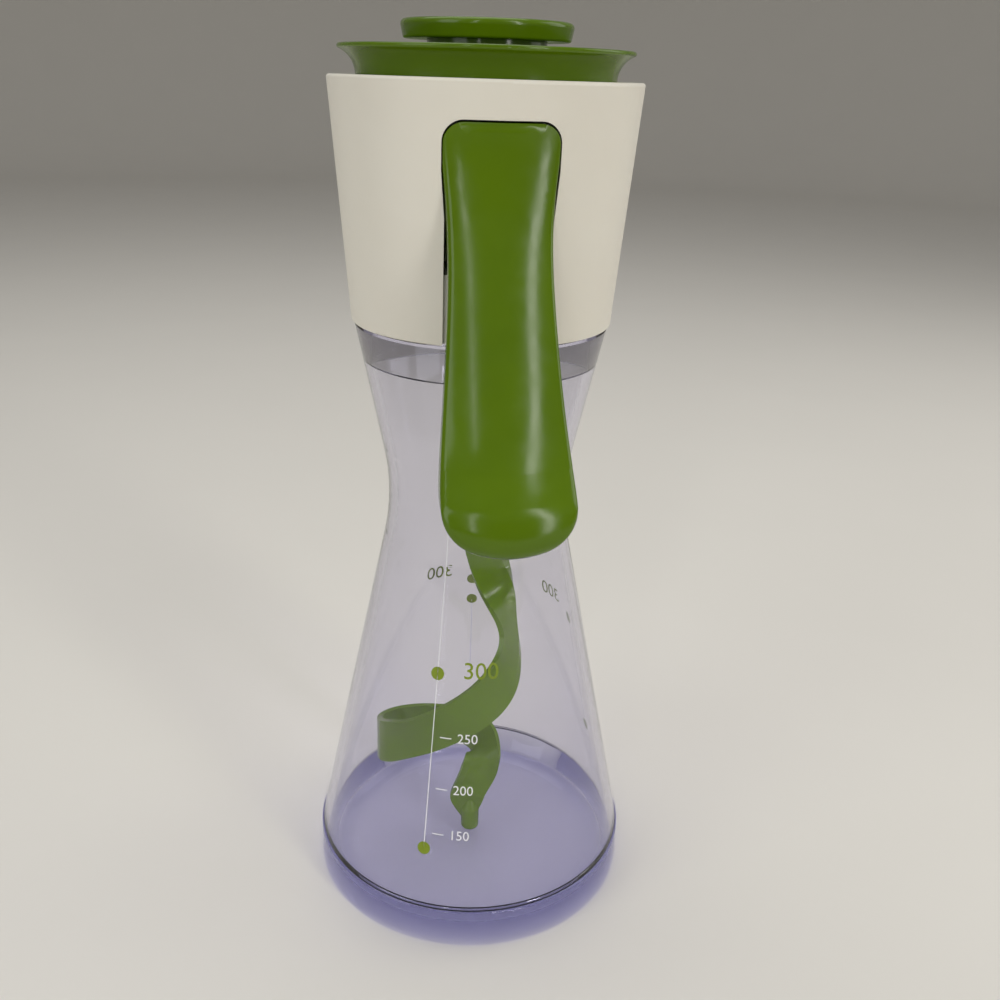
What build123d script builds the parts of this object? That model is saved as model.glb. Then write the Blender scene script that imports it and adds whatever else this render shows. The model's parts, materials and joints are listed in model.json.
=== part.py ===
from build123d import *
import math
import os

# Hand-squeezed salad dressing mixer. A waisted clear bottle carries a tapered head,
# and a lever on the head turns a ribbon blade in the bottle through a rack and gears.
# Millimetres, +Z up. The origin is the centre of the flat foot, and the lever is at -Y.

os.makedirs("parts", exist_ok=True)

# Clearances
RUNNING_GAP = 0.05
SLIDING_GAP = 0.15
SEAT_GAP = 0.1
OPEN_GAP = 0.3
GRIP = 0.02

# Bottle
FOOT_RADIUS = 44.9
BAND_TAPER = 0.3
BAND_HEIGHT = 11.5
BAND_STEP = 0.4
FLOOR_THICKNESS = 3.2
FLOOR_MARGIN = 9.4
WAIST_RADIUS = 23.5
WAIST_HEIGHT = 116.0
WAIST_BEND = 60.0
SHOULDER_RADIUS = 31.5
SHOULDER_HEIGHT = 161.4
SHOULDER_ROUND = 0.5
BOTTLE_WALL = 2.4
NECK_BORE = 26.8
NECK_WALL = 1.8
NECK_HEIGHT = 10.6
NECK_STEP_DROP = 9.4
WELD_TONGUE = (1.0, 0.8)

# Bayonet between bottle and head
LUG_COUNT = 3
LUG_RISE = 3.6
LUG_HEIGHT = 2.4
LUG_DEPTH = 1.0
LUG_ANGLE = 28.0
LUG_PLAY = 0.2
TWIST_ANGLE = 40.0
LUG_START = 200.0

# Collar shell
COLLAR_HEIGHT = 55.5
COLLAR_STEP = 0.7
COLLAR_FLARE = 4.35
COLLAR_GAP = 0.4
COLLAR_WALL = 1.6
DECK_THICKNESS = 1.8

# Head frame inside the collar
LINER_WALL = 1.6
SEAL_HEIGHT = 1.5
LEDGE_THICKNESS = 1.5
POD_FLOOR = 2.5
POD_WALL = 2.4
POD_CHAMBER = 9.8
POD_NOSE = 8.2
POD_NOSE_HALF = 6.0
POD_SHOULDER_Y = -2.0
POCKET_CORNER = 4.5
POCKET_ROOF = 1.6
SLOT_WIDTH = 25.0
SLOT_LOW_WIDTH = 23.5
CURTAIN_WALL = 2.0

# Gears
GEAR_MODULE = 0.8
PRESSURE_ANGLE = 25.0
BACKLASH = 0.12
RACK_ADDENDUM = 0.68
DEDENDUM = 0.98
PINION_TEETH = 10
WHEEL_TEETH = 26
HUB_TEETH = 10
SECTOR_TEETH = 48
WHEEL_FACE = 2.8
WHEEL_SPOKES = 5
PINION_FACE = 3.4
RACK_FACE = 3.0
RACK_WIDTH = 3.4
RACK_TONGUE = 1.1
RACK_RELIEF = 1.3
SECTOR_THICKNESS = 3.2
SECTOR_HUB = 2.8

# Shafts, bearings and seals of the pod
AXLE_RADIUS = 1.2
SHAFT_RADIUS = 2.0
SHAFT_DROP = 22.0
SHAFT_FLAT = 1.5
SHAFT_FLAT_LENGTH = 12.0
HUB_BOSS_RADIUS = 2.95
HUB_BOSS_HEIGHT = 1.4
CLIP_THICKNESS = 0.65
CLIP_RADIUS = 3.3
BUSH_RADIUS = 3.2
BUSH_FLANGE = 4.4
BUSH_FLANGE_HEIGHT = 0.6
SEAL_RADIUS = 4.2
SEAL_CUP_RADIUS = 5.8
SEAL_CUP_DEPTH = 2.6
LID_THICKNESS = 1.8
LID_SCREWS = [(-11.0, -4.6), (11.0, -4.6)]
SCREW_BOSS = 2.6
SCREW_SHANK = 0.95
SCREW_LENGTH = 6.5
SCREW_HEAD = 1.9

# Lever
PIVOT_INSET = 7.55
LEVER_RISE = 4.5
LEVER_PIN_RADIUS = 1.5
LEVER_WALL = 2.2
LEVER_SIDE_WALL = 1.6
LEVER_SIDE_GAP = 0.3
LEVER_TOP_GAP = 0.5
LEVER_EDGE = 1.8
LEVER_DROP = 79.0
LEVER_TIP_ROUND = 10.5
LEVER_NOSE = (-40.3, 8.9)
LEVER_CHIN = (-38.3, 2.8)
LEVER_RIBS = (-34.6, -46.6, -58.6)
LEVER_RIB = 1.2
RIB_SET_BACK = 1.6

# Lever skin from the top down: height and distance in front of the pivot, half width, crown
LEVER_STATIONS = [
    (7.4, 8.2, 12.2, 1.9),
    (-4.6, 7.7, 12.2, 1.9),
    (-15.6, 9.7, 11.3, 2.0),
    (-27.6, 14.3, 11.3, 2.2),
    (-39.6, 20.0, 11.95, 2.5),
    (-51.6, 26.3, 12.9, 2.9),
    (-62.6, 34.2, 13.9, 3.2),
    (-81.6, 47.6, 14.1, 3.4),
]

# Back edges of the lever's sides, from the pivot: distance behind it and height
LEVER_BACK = [
    (1.8, -7.6),
    (-2.2, -16.6),
    (-9.4, -26.6),
    (-14.2, -39.6),
    (-20.5, -53.6),
    (-27.2, -66.6),
    (-32.0, -77.2),
]

# Return spring
SPRING_WIRE = 0.45
SPRING_RADIUS = 2.3
SPRING_HALF_TURNS = 7
SPRING_PITCH = 1.35
SPRING_LEG = 12.5
SPRING_LEFT = -6.4
SPRING_SEAT = 3.0

# Pour ring and stopper
RING_INSET = 6.55
RING_WALL = 1.8
RING_SEAT_DEPTH = 5.2
RING_RISE = 6.4
RING_FLARE = 4.0
RIM_THICKNESS = 1.0
RING_GROOVE = (1.0, 1.6, 0.9)
STOPPER_LIFT = 1.4
PLUG_SKIRT = 6.0
PLUG_WALL = 1.6
PLUG_PLATE = 1.8
PLUG_CLEARANCE = 0.6
PLUG_GROOVE = (1.3, 2.6, 0.8)
KNOB_NECK_RADIUS = 13.7
KNOB_RADIUS = 19.9
KNOB_TAPER = 0.8
KNOB_THICKNESS = 4.0
KNOB_DOME = 0.5
KNOB_LIFT = 1.45
SPIGOT_WALL = 1.7
SPIGOT_LENGTH = 5.0

# Blade
BLADE_SKIN = 1.5
BLADE_HUB_RADIUS = 4.4
BLADE_ROD_RADIUS = 3.3
BLADE_TIP_RADIUS = 2.7
BLADE_TIP_GAP = 0.6
BLADE_RIDGE = 0.3
BLADE_REACH = 146.8
BLADE_PARKED = -6.1

# Ribbon from the top down. Each place is x, y and height above the floor, then the width,
# the heading and rise of the width's direction, and the height of the ridge along it.
# The heights are those of a blade that reaches BLADE_REACH from the floor to the shaft.
BLADE_STATIONS = [
    (0.0, 0.0, 114.8, 4.0, 180, 0, 0.2),
    (1.0, 0.0, 104.8, 8.0, 180, 0, 1.0),
    (2.4, 0.0, 96.8, 11.5, 182, 0, 2.0),
    (4.6, -0.2, 88.8, 11.0, 196, 6, 2.4),
    (7.8, -1.2, 80.8, 11.2, 226, 13, 2.2),
    (9.5, -2.6, 74.3, 11.6, 247, 20, 1.4),
    (10.3, -5.2, 67.3, 11.8, 240, 28, 0.6),
    (8.8, -9.5, 61.3, 11.8, 215, 38, 0.2),
    (5.2, -13.2, 56.6, 11.8, 190, 44, 0),
    (0.0, -15.5, 52.6, 11.8, 180, 48, 0),
    (-10.0, -15.5, 46.1, 11.8, 180, 60, 0),
    (-20.5, -10.5, 39.4, 11.8, 150, 75, 0),
    (-27.0, -1.5, 34.3, 11.8, 90, 85, 0),
    (-23.5, 7.5, 31.8, 11.8, 0, 90, 0),
    (-13.0, 12.2, 30.2, 11.8, 0, 87, 0),
    (-3.0, 12.0, 29.0, 11.6, 0, 78, 0),
    (2.6, 8.6, 27.8, 11.4, 10, 66, 0),
    (3.9, 4.2, 25.8, 11.2, 20, 48, 0.2),
    (2.9, 1.2, 22.4, 10.8, 20, 27, 0.5),
    (0.8, -0.2, 17.4, 10.6, 10, 8, 0.6),
    (-1.0, -0.3, 12.4, 10.2, 0, 0, 0.4),
    (-0.6, 0.0, 8.2, 7.6, 0, 0, 0.2),
    (0.0, 0.0, 3.8, 4.2, 0, 0, 0.1),
]

# Heights and radii that follow from the driving sizes
BAND_TOP_RADIUS = FOOT_RADIUS - BAND_TAPER
WALL_FOOT = BAND_TOP_RADIUS - BAND_STEP
FLOOR_RADIUS = FOOT_RADIUS - FLOOR_MARGIN
NECK_RADIUS = NECK_BORE + NECK_WALL
NECK_TOP = SHOULDER_HEIGHT + NECK_HEIGHT
COLLAR_FOOT = SHOULDER_HEIGHT + COLLAR_GAP
COLLAR_TOP = COLLAR_FOOT + COLLAR_HEIGHT
COLLAR_FOOT_RADIUS = SHOULDER_RADIUS + COLLAR_STEP
COLLAR_TOP_RADIUS = COLLAR_FOOT_RADIUS + COLLAR_FLARE
COLLAR_SLOPE = COLLAR_FLARE / COLLAR_HEIGHT
LEDGE_FOOT = NECK_TOP + SEAL_HEIGHT + RUNNING_GAP
LEDGE_TOP = LEDGE_FOOT + LEDGE_THICKNESS
POD_FOOT = LEDGE_TOP
POD_FLOOR_TOP = POD_FOOT + POD_FLOOR
POD_TOP = POD_FLOOR_TOP + POD_CHAMBER
POCKET_HALF = SLOT_WIDTH / 2
POD_HALF_WIDTH = POCKET_HALF + POD_WALL
SOCKET_RADIUS = NECK_RADIUS + OPEN_GAP
SEAL_CUP_FOOT = POD_FOOT - SEAL_CUP_DEPTH

PINION_RADIUS = PINION_TEETH * GEAR_MODULE / 2
WHEEL_RADIUS = WHEEL_TEETH * GEAR_MODULE / 2
HUB_RADIUS = HUB_TEETH * GEAR_MODULE / 2
SECTOR_RADIUS = SECTOR_TEETH * GEAR_MODULE / 2
TOOTH_PITCH = math.pi * GEAR_MODULE
AXLE_Y = -(WHEEL_RADIUS + HUB_RADIUS)
WHEEL_FOOT = POD_FLOOR_TOP + BUSH_FLANGE_HEIGHT + SLIDING_GAP
PINION_FOOT = WHEEL_FOOT + WHEEL_FACE
RACK_FOOT = PINION_FOOT + OPEN_GAP
RACK_TOP = RACK_FOOT + RACK_FACE
PIVOT_Z = RACK_TOP + DEDENDUM + SECTOR_RADIUS
RACK_BACK_X = PINION_RADIUS + DEDENDUM
RACK_OUTER_X = RACK_BACK_X + RACK_WIDTH
RACK_REACH = 2.75 * TOOTH_PITCH
GUIDE_X = RACK_OUTER_X + SLIDING_GAP
SECTOR_X = RACK_BACK_X + (RACK_WIDTH - SECTOR_THICKNESS) / 2
HUB_GEAR_TOP = WHEEL_FOOT + WHEEL_FACE
HUB_BOSS_TOP = HUB_GEAR_TOP + HUB_BOSS_HEIGHT
CLIP_TOP = HUB_BOSS_TOP + CLIP_THICKNESS
SHAFT_TOP = POD_TOP + 0.5
SHAFT_FOOT = NECK_TOP - SHAFT_DROP

LEVER_TOP = PIVOT_Z + LEVER_RISE
POCKET_TOP = LEVER_TOP + LEVER_TOP_GAP
RADIUS_AT_PIVOT = COLLAR_FOOT_RADIUS + COLLAR_SLOPE * (PIVOT_Z - COLLAR_FOOT)
LEVER_PIVOT_Y = PIVOT_INSET - RADIUS_AT_PIVOT
LEVER_HALF = SLOT_WIDTH / 2 - LEVER_SIDE_GAP
LEVER_TIP = PIVOT_Z - LEVER_DROP
GUIDE_FRONT = LEVER_PIVOT_Y + 1.5
CURTAIN_Y = LEVER_PIVOT_Y + 8.6
PIN_ROOM = math.sqrt(
    (RADIUS_AT_PIVOT - COLLAR_WALL - SEAT_GAP) ** 2 - (LEVER_PIN_RADIUS - LEVER_PIVOT_Y) ** 2
)
PIN_HALF_LENGTH = min(POD_HALF_WIDTH - 0.2, PIN_ROOM)
SPRING_RIGHT = SPRING_LEFT + SPRING_HALF_TURNS / 2 * SPRING_PITCH

RING_NECK_RADIUS = COLLAR_TOP_RADIUS - RING_INSET
RING_BORE = RING_NECK_RADIUS - RING_WALL
RING_RIM_RADIUS = RING_NECK_RADIUS + RING_FLARE
RING_FOOT = COLLAR_TOP - RING_SEAT_DEPTH + SEAT_GAP
STOPPER_SEAT = COLLAR_TOP + STOPPER_LIFT
PLUG_RADIUS = RING_BORE - PLUG_CLEARANCE
KNOB_FOOT = COLLAR_TOP + RING_RISE + KNOB_LIFT
SPIGOT_RADIUS = KNOB_NECK_RADIUS - 1.8


def outer_radius(z):
    """Radius of the collar's outside at a height."""
    return COLLAR_FOOT_RADIUS + COLLAR_SLOPE * (z - COLLAR_FOOT)


def liner_radius(z):
    """Radius of the head frame's outside, which the collar shell slides over."""
    return outer_radius(z) - COLLAR_WALL - SEAT_GAP


def outline(corners, plane=Plane.XY):
    """Closed face of straight runs. Each corner is (a, b) or (a, b, rounding radius)."""
    count = len(corners)
    ends = []
    for i, corner in enumerate(corners):
        here = Vector(corner[0], corner[1])
        before = Vector(*corners[i - 1][:2]) - here
        after = Vector(*corners[(i + 1) % count][:2]) - here
        radius = corner[2] if len(corner) > 2 else 0
        if not radius:
            ends.append((here, None, here))
            continue
        half = math.radians(before.get_angle(after)) / 2
        reach = radius / math.tan(half)
        centre = here + (before.normalized() + after.normalized()).normalized() * (
            radius / math.sin(half)
        )
        middle = centre + (here - centre).normalized() * radius
        ends.append((here + before.normalized() * reach, middle, here + after.normalized() * reach))
    edges = []
    for i, (start, middle, end) in enumerate(ends):
        if middle is not None:
            edges.append(Edge.make_three_point_arc(start, middle, end))
        following = ends[(i + 1) % count][0]
        if (following - end).length > 1e-6:
            edges.append(Edge.make_line(end, following))
    return plane * Face(Wire(edges))


def turned(corners):
    """Solid of revolution about Z from an outline of (radius, height) corners."""
    return revolve(outline(corners, Plane.XZ), Axis.Z)


def disc(radius, low, high, x=0.0, y=0.0):
    """Upright cylinder between two heights."""
    align = (Align.CENTER, Align.CENTER, Align.MIN)
    return Pos(x, y, low) * Cylinder(radius, high - low, align=align)


def tube(inner, outer, low, high, x=0.0, y=0.0):
    """Upright ring between two heights."""
    return disc(outer, low, high, x, y) - disc(inner, low - 1, high + 1, x, y)


def cross_rod(radius, left, right, y, z):
    """Cylinder along X between two places."""
    align = (Align.CENTER, Align.CENTER, Align.MIN)
    return Pos(left, y, z) * Rot(0, 90, 0) * Cylinder(radius, right - left, align=align)


def block(x0, x1, y0, y1, z0, z1):
    """Box between two corners."""
    return Pos((x0 + x1) / 2, (y0 + y1) / 2, (z0 + z1) / 2) * Box(x1 - x0, y1 - y0, z1 - z0)


def sector_of(inner, outer, low, high, start, sweep):
    """Part of a ring, from a start angle through a sweep, both in degrees."""
    at_start = Plane.XZ.rotated((0, 0, start))
    face = outline([(inner, low), (outer, low), (outer, high), (inner, high)])
    return revolve(at_start * face, Axis.Z, revolution_arc=sweep)


def flank_half_angle(radius, pitch_radius, teeth):
    """Half the angle that an involute tooth fills at a radius."""
    pressure = math.radians(PRESSURE_ANGLE)
    base = pitch_radius * math.cos(pressure)
    at_pitch = math.pi / (2 * teeth) - BACKLASH / 2 / (2 * pitch_radius)
    here = math.acos(min(1.0, base / radius))
    involute = math.tan(here) - here
    return at_pitch + math.tan(pressure) - pressure - involute


def tooth_edges(teeth, centre_angle):
    """Edges of one involute tooth, from root to root, turning the positive way."""
    pitch_radius = teeth * GEAR_MODULE / 2
    base = pitch_radius * math.cos(math.radians(PRESSURE_ANGLE))
    root = pitch_radius - DEDENDUM
    tip = pitch_radius + GEAR_MODULE
    start = max(root, base)

    def spot(radius, side):
        half = flank_half_angle(max(radius, start), pitch_radius, teeth)
        angle = centre_angle + side * half
        return Vector(radius * math.cos(angle), radius * math.sin(angle))

    middle = (start + tip) / 2
    edges = []
    if root < base:
        edges.append(Edge.make_line(spot(root, -1), spot(base, -1)))
    edges.append(Edge.make_three_point_arc(spot(start, -1), spot(middle, -1), spot(tip, -1)))
    edges.append(Edge.make_line(spot(tip, -1), spot(tip, 1)))
    edges.append(Edge.make_three_point_arc(spot(tip, 1), spot(middle, 1), spot(start, 1)))
    if root < base:
        edges.append(Edge.make_line(spot(base, 1), spot(root, 1)))
    return edges


def toothed_face(teeth, first_angle):
    """Face of a whole spur gear with one tooth centred on an angle in degrees."""
    step = 2 * math.pi / teeth
    edges = []
    for i in range(teeth):
        tooth = tooth_edges(teeth, math.radians(first_angle) + i * step)
        if edges:
            edges.append(Edge.make_line(edges[-1] @ 1, tooth[0] @ 0))
        edges += tooth
    edges.append(Edge.make_line(edges[-1] @ 1, edges[0] @ 0))
    return Face(Wire(edges))


def spur_gear(teeth, first_angle, low, high):
    """Spur gear between two heights, centred on Z."""
    return Pos(0, 0, low) * extrude(toothed_face(teeth, first_angle), high - low, dir=(0, 0, 1))


def rack_tooth(addendum):
    """Corners of one rack tooth about its centre, as (along, out) pairs from the pitch line."""
    lean = math.tan(math.radians(PRESSURE_ANGLE))
    half = TOOTH_PITCH / 4 - BACKLASH / 4
    foot = half + DEDENDUM * lean
    crown = half - addendum * lean
    return [(-foot, -DEDENDUM), (-crown, addendum), (crown, addendum), (foot, -DEDENDUM)]


def wall_run(end_radius, end_height, side):
    """Tangent from the end of a bottle wall to the waist's round, seen in half section.

    Gives the tangent point and the wall's outward direction, as (radius, height) pairs.
    """
    centre = (WAIST_RADIUS + WAIST_BEND, WAIST_HEIGHT)
    away = math.hypot(centre[0] - end_radius, centre[1] - end_height)
    along = math.sqrt(away**2 - WAIST_BEND**2)
    aim = math.atan2(centre[1] - end_height, centre[0] - end_radius)
    turn = side * math.asin(WAIST_BEND / away)
    touch = (
        end_radius + along * math.cos(aim + turn),
        end_height + along * math.sin(aim + turn),
    )
    outward = ((centre[0] - touch[0]) / WAIST_BEND, (centre[1] - touch[1]) / WAIST_BEND)
    return touch, outward


def waist_arc(radius_offset, low_touch, low_out, high_touch, high_out):
    """Arc of the waist between the two straight walls, moved inwards by an offset."""
    start = Vector(low_touch[0] - low_out[0] * radius_offset, low_touch[1] - low_out[1] * radius_offset)
    end = Vector(high_touch[0] - high_out[0] * radius_offset, high_touch[1] - high_out[1] * radius_offset)
    middle = Vector(WAIST_RADIUS - radius_offset, WAIST_HEIGHT)
    return start, middle, end


def make_bottle_wall():
    """Clear waisted wall with its neck, bayonet lugs and the weld tongue at its foot."""
    low_touch, low_out = wall_run(WALL_FOOT, BAND_HEIGHT, 1)
    high_touch, high_out = wall_run(SHOULDER_RADIUS, SHOULDER_HEIGHT, -1)
    outer = waist_arc(0, low_touch, low_out, high_touch, high_out)
    inner = waist_arc(BOTTLE_WALL, low_touch, low_out, high_touch, high_out)
    foot_in = Vector(WALL_FOOT - BOTTLE_WALL * abs(low_out[0]), BAND_HEIGHT)
    slope = (SHOULDER_RADIUS - outer[2].X) / (SHOULDER_HEIGHT - outer[2].Y)
    step_foot = SHOULDER_HEIGHT - NECK_STEP_DROP
    step_radius = inner[2].X + slope * (step_foot - inner[2].Y)
    points = [
        Vector(SHOULDER_RADIUS, SHOULDER_HEIGHT - SHOULDER_ROUND),
        Vector(SHOULDER_RADIUS - SHOULDER_ROUND, SHOULDER_HEIGHT),
        Vector(NECK_RADIUS, SHOULDER_HEIGHT),
        Vector(NECK_RADIUS, NECK_TOP),
        Vector(NECK_BORE, NECK_TOP),
        Vector(NECK_BORE, step_foot + abs(step_radius - NECK_BORE)),
        Vector(step_radius, step_foot),
    ]
    edges = [
        Edge.make_line(Vector(WALL_FOOT, BAND_HEIGHT), outer[0]),
        Edge.make_three_point_arc(*outer),
        Edge.make_line(outer[2], points[0]),
    ]
    edges += [Edge.make_line(a, b) for a, b in zip(points, points[1:])]
    edges += [
        Edge.make_line(points[-1], inner[2]),
        Edge.make_three_point_arc(inner[2], inner[1], inner[0]),
        Edge.make_line(inner[0], foot_in),
        Edge.make_line(foot_in, Vector(WALL_FOOT, BAND_HEIGHT)),
    ]
    wall = revolve(Plane.XZ * Face(Wire(edges)), Axis.Z)
    tongue_width, tongue_depth = WELD_TONGUE
    tongue_radius = (foot_in.X + WALL_FOOT) / 2
    wall += tube(
        tongue_radius - tongue_width / 2,
        tongue_radius + tongue_width / 2,
        BAND_HEIGHT - tongue_depth,
        BAND_HEIGHT + 0.5,
    )
    low = SHOULDER_HEIGHT + LUG_RISE
    for i in range(LUG_COUNT):
        start = LUG_START + i * 360 / LUG_COUNT
        wall += sector_of(NECK_RADIUS - 0.5, NECK_RADIUS + LUG_DEPTH, low, low + LUG_HEIGHT, start, LUG_ANGLE)
    return wall


def make_bottle_base():
    """Thick tinted foot: a band with a dished floor, welded to the wall by a groove."""
    low_out = wall_run(WALL_FOOT, BAND_HEIGHT, 1)[1]
    inside = WALL_FOOT - BOTTLE_WALL * abs(low_out[0])
    floor_round = 5.5
    base = turned(
        [
            (0, 0),
            (FOOT_RADIUS, 0, 0.9),
            (BAND_TOP_RADIUS, BAND_HEIGHT, 0.5),
            (inside, BAND_HEIGHT),
            (FLOOR_RADIUS + 1.5, FLOOR_THICKNESS, floor_round),
            (0, FLOOR_THICKNESS),
        ]
    )
    tongue_width, tongue_depth = WELD_TONGUE
    tongue_radius = (inside + WALL_FOOT) / 2
    groove = tube(
        tongue_radius - tongue_width / 2 - RUNNING_GAP,
        tongue_radius + tongue_width / 2 + RUNNING_GAP,
        BAND_HEIGHT - tongue_depth - RUNNING_GAP,
        BAND_HEIGHT + 1,
    )
    return base - groove


def make_neck_seal():
    """Soft ring that the head presses on the bottle's rim."""
    low = NECK_TOP + RUNNING_GAP / 2
    high = LEDGE_FOOT - RUNNING_GAP / 2
    return turned(
        [
            (NECK_BORE + 0.2, low),
            (NECK_RADIUS - 0.1, low),
            (NECK_RADIUS - 0.1, high),
            (NECK_BORE + 0.2, high),
        ]
    )


def slot_outline(half_low, half_high, foot, top, corner):
    """Front outline of the lever's slot or pocket, in the XZ plane."""
    split_low = top - 20
    split_high = top - 10
    return outline(
        [
            (-half_low, foot),
            (half_low, foot),
            (half_low, split_low),
            (half_high, split_high),
            (half_high, top, corner),
            (-half_high, top, corner),
            (-half_high, split_high),
            (-half_low, split_low),
        ],
        Plane.XZ,
    )


def front_cut(face, near, far):
    """Solid of a front outline between two places along Y."""
    return Pos(0, far, 0) * extrude(face, far - near, dir=(0, -1, 0))


def make_collar_shell():
    """Cream tapered cover with a flat deck and the open slot of the lever."""
    inside_foot = COLLAR_FOOT_RADIUS - COLLAR_WALL
    inside_top = outer_radius(COLLAR_TOP - DECK_THICKNESS) - COLLAR_WALL
    shell = turned(
        [
            (inside_foot, COLLAR_FOOT),
            (COLLAR_FOOT_RADIUS, COLLAR_FOOT, 0.4),
            (COLLAR_TOP_RADIUS, COLLAR_TOP, 0.7),
            (RING_NECK_RADIUS + OPEN_GAP, COLLAR_TOP, 0.4),
            (RING_NECK_RADIUS + OPEN_GAP, COLLAR_TOP - DECK_THICKNESS),
            (inside_top, COLLAR_TOP - DECK_THICKNESS),
        ]
    )
    slot = slot_outline(
        SLOT_LOW_WIDTH / 2, SLOT_WIDTH / 2, COLLAR_FOOT - 5, POCKET_TOP, POCKET_CORNER
    )
    return shell - front_cut(slot, -60, -15)


def pod_plan(margin, front):
    """Plan of the gear pod, drawn in from its outside by a margin."""
    half = POD_HALF_WIDTH - margin
    nose_half = POD_NOSE_HALF - margin * 0.45
    return outline(
        [
            (-half, front),
            (half, front),
            (half, POD_SHOULDER_Y - margin * 0.45, 3),
            (nose_half, POD_NOSE - margin, 2.5),
            (-nose_half, POD_NOSE - margin, 2.5),
            (-half, POD_SHOULDER_Y - margin * 0.45, 3),
        ]
    )


def prism(face, low, high):
    """Upright solid of a plan face between two heights."""
    return Pos(0, 0, low) * extrude(face, high - low, dir=(0, 0, 1))


def liner_wall():
    """Turned wall of the head frame, with the neck socket, ledge and pour ring seat."""
    foot = COLLAR_FOOT + 0.2
    seat = COLLAR_TOP - RING_SEAT_DEPTH
    top = COLLAR_TOP - DECK_THICKNESS - SEAT_GAP
    seat_foot = seat - 1.3
    return turned(
        [
            (SOCKET_RADIUS, foot),
            (liner_radius(foot), foot),
            (liner_radius(top), top),
            (RING_NECK_RADIUS + SEAT_GAP, top),
            (RING_NECK_RADIUS + SEAT_GAP, seat),
            (RING_NECK_RADIUS - RING_WALL + SEAT_GAP, seat),
            (RING_NECK_RADIUS - RING_WALL + SEAT_GAP, seat_foot),
            (liner_radius(seat_foot) - LINER_WALL, seat_foot - 2.5),
            (liner_radius(LEDGE_TOP) - LINER_WALL, LEDGE_TOP, 1.0),
            (NECK_BORE, LEDGE_TOP),
            (NECK_BORE, LEDGE_FOOT),
            (SOCKET_RADIUS, LEDGE_FOOT),
        ]
    )


def bayonet_channels():
    """L-shaped ways for the bottle's lugs, cut in the neck socket."""
    low = SHOULDER_HEIGHT + LUG_RISE - LUG_PLAY
    high = SHOULDER_HEIGHT + LUG_RISE + LUG_HEIGHT + LUG_PLAY
    depth = NECK_RADIUS + LUG_DEPTH + LUG_PLAY
    play = 1.5
    channels = []
    for i in range(LUG_COUNT):
        start = LUG_START + i * 360 / LUG_COUNT
        run = LUG_ANGLE + TWIST_ANGLE + 2 * play
        channels.append(
            sector_of(SOCKET_RADIUS - 0.5, depth, low, high, start - TWIST_ANGLE - play, run)
        )
        channels.append(
            sector_of(
                SOCKET_RADIUS - 0.5,
                depth,
                COLLAR_FOOT - 1,
                high,
                start - TWIST_ANGLE - play,
                LUG_ANGLE + 2 * play,
            )
        )
    return channels


def make_head_frame():
    """Inner moulding: neck socket, pour passage and the sealed pod of the gears."""
    frame = liner_wall()
    envelope = turned(
        [
            (0, POD_FOOT - 3),
            (liner_radius(POD_FOOT - 3) - 0.2, POD_FOOT - 3),
            (liner_radius(COLLAR_TOP) - 0.2, COLLAR_TOP),
            (0, COLLAR_TOP),
        ]
    )
    tower_back = CURTAIN_Y + CURTAIN_WALL
    front = -COLLAR_TOP_RADIUS
    pod = prism(pod_plan(0, front), POD_FOOT, POD_TOP)
    pod += block(
        -POD_HALF_WIDTH, POD_HALF_WIDTH, front, tower_back, POD_FOOT, POCKET_TOP + POCKET_ROOF
    )
    frame += pod & envelope
    chamber = prism(pod_plan(POD_WALL, front), POD_FLOOR_TOP, POD_TOP + 1)
    frame -= chamber & block(-30, 30, CURTAIN_Y, 30, POD_FOOT, POD_TOP + 5)
    pocket = slot_outline(POCKET_HALF, POCKET_HALF, POD_FLOOR_TOP, POCKET_TOP + 0.1, POCKET_CORNER)
    frame -= front_cut(pocket, -60, CURTAIN_Y)
    frame -= block(-POCKET_HALF, POCKET_HALF, CURTAIN_Y - 1, tower_back + 0.5, POD_FLOOR_TOP, POD_TOP)
    for channel in bayonet_channels():
        frame -= channel

    # Bosses for the lid screws, the guide of the rack and the two bearings
    for x, y in LID_SCREWS:
        frame += disc(SCREW_BOSS, POD_FLOOR_TOP - 0.5, POD_TOP, x, y)
        frame -= disc(SCREW_SHANK, POD_TOP - SCREW_LENGTH - 0.5, POD_TOP + 1, x, y)
    guide = block(
        GUIDE_X, POCKET_HALF + 0.5, GUIDE_FRONT, AXLE_Y + 5.5, PINION_FOOT + OPEN_GAP, RACK_TOP + 0.8
    )
    groove_low = RACK_FOOT + 1 - SLIDING_GAP
    groove_high = RACK_TOP - 1 + SLIDING_GAP
    guide -= block(GUIDE_X - 1, GUIDE_X + RACK_TONGUE, -40, 0, groove_low, groove_high)
    frame += guide & envelope
    frame += tube(AXLE_RADIUS + RUNNING_GAP, 2.4, POD_FLOOR_TOP - 0.5, WHEEL_FOOT - RUNNING_GAP, 0, AXLE_Y)
    frame -= disc(AXLE_RADIUS, POD_FOOT + 0.6, POD_FLOOR_TOP + 1, 0, AXLE_Y)
    frame += disc(SEAL_CUP_RADIUS, SEAL_CUP_FOOT, POD_FOOT + 0.5)
    frame -= disc(BUSH_RADIUS, POD_FOOT - 1, POD_FLOOR_TOP + 1)
    frame -= disc(SEAL_RADIUS, SEAL_CUP_FOOT - 1, POD_FOOT)

    # Bore of the lever pin and the seat of the spring's back leg
    frame -= cross_rod(LEVER_PIN_RADIUS, -PIN_HALF_LENGTH, PIN_HALF_LENGTH, LEVER_PIVOT_Y, PIVOT_Z)
    leg_y = LEVER_PIVOT_Y + SPRING_RADIUS + SPRING_WIRE
    leg_z = PIVOT_Z - SPRING_LEG
    frame += block(
        SPRING_LEFT - 0.7, SPRING_LEFT + 0.9, leg_y + RUNNING_GAP, CURTAIN_Y + 0.5, leg_z, leg_z + SPRING_SEAT
    )
    return frame


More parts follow.
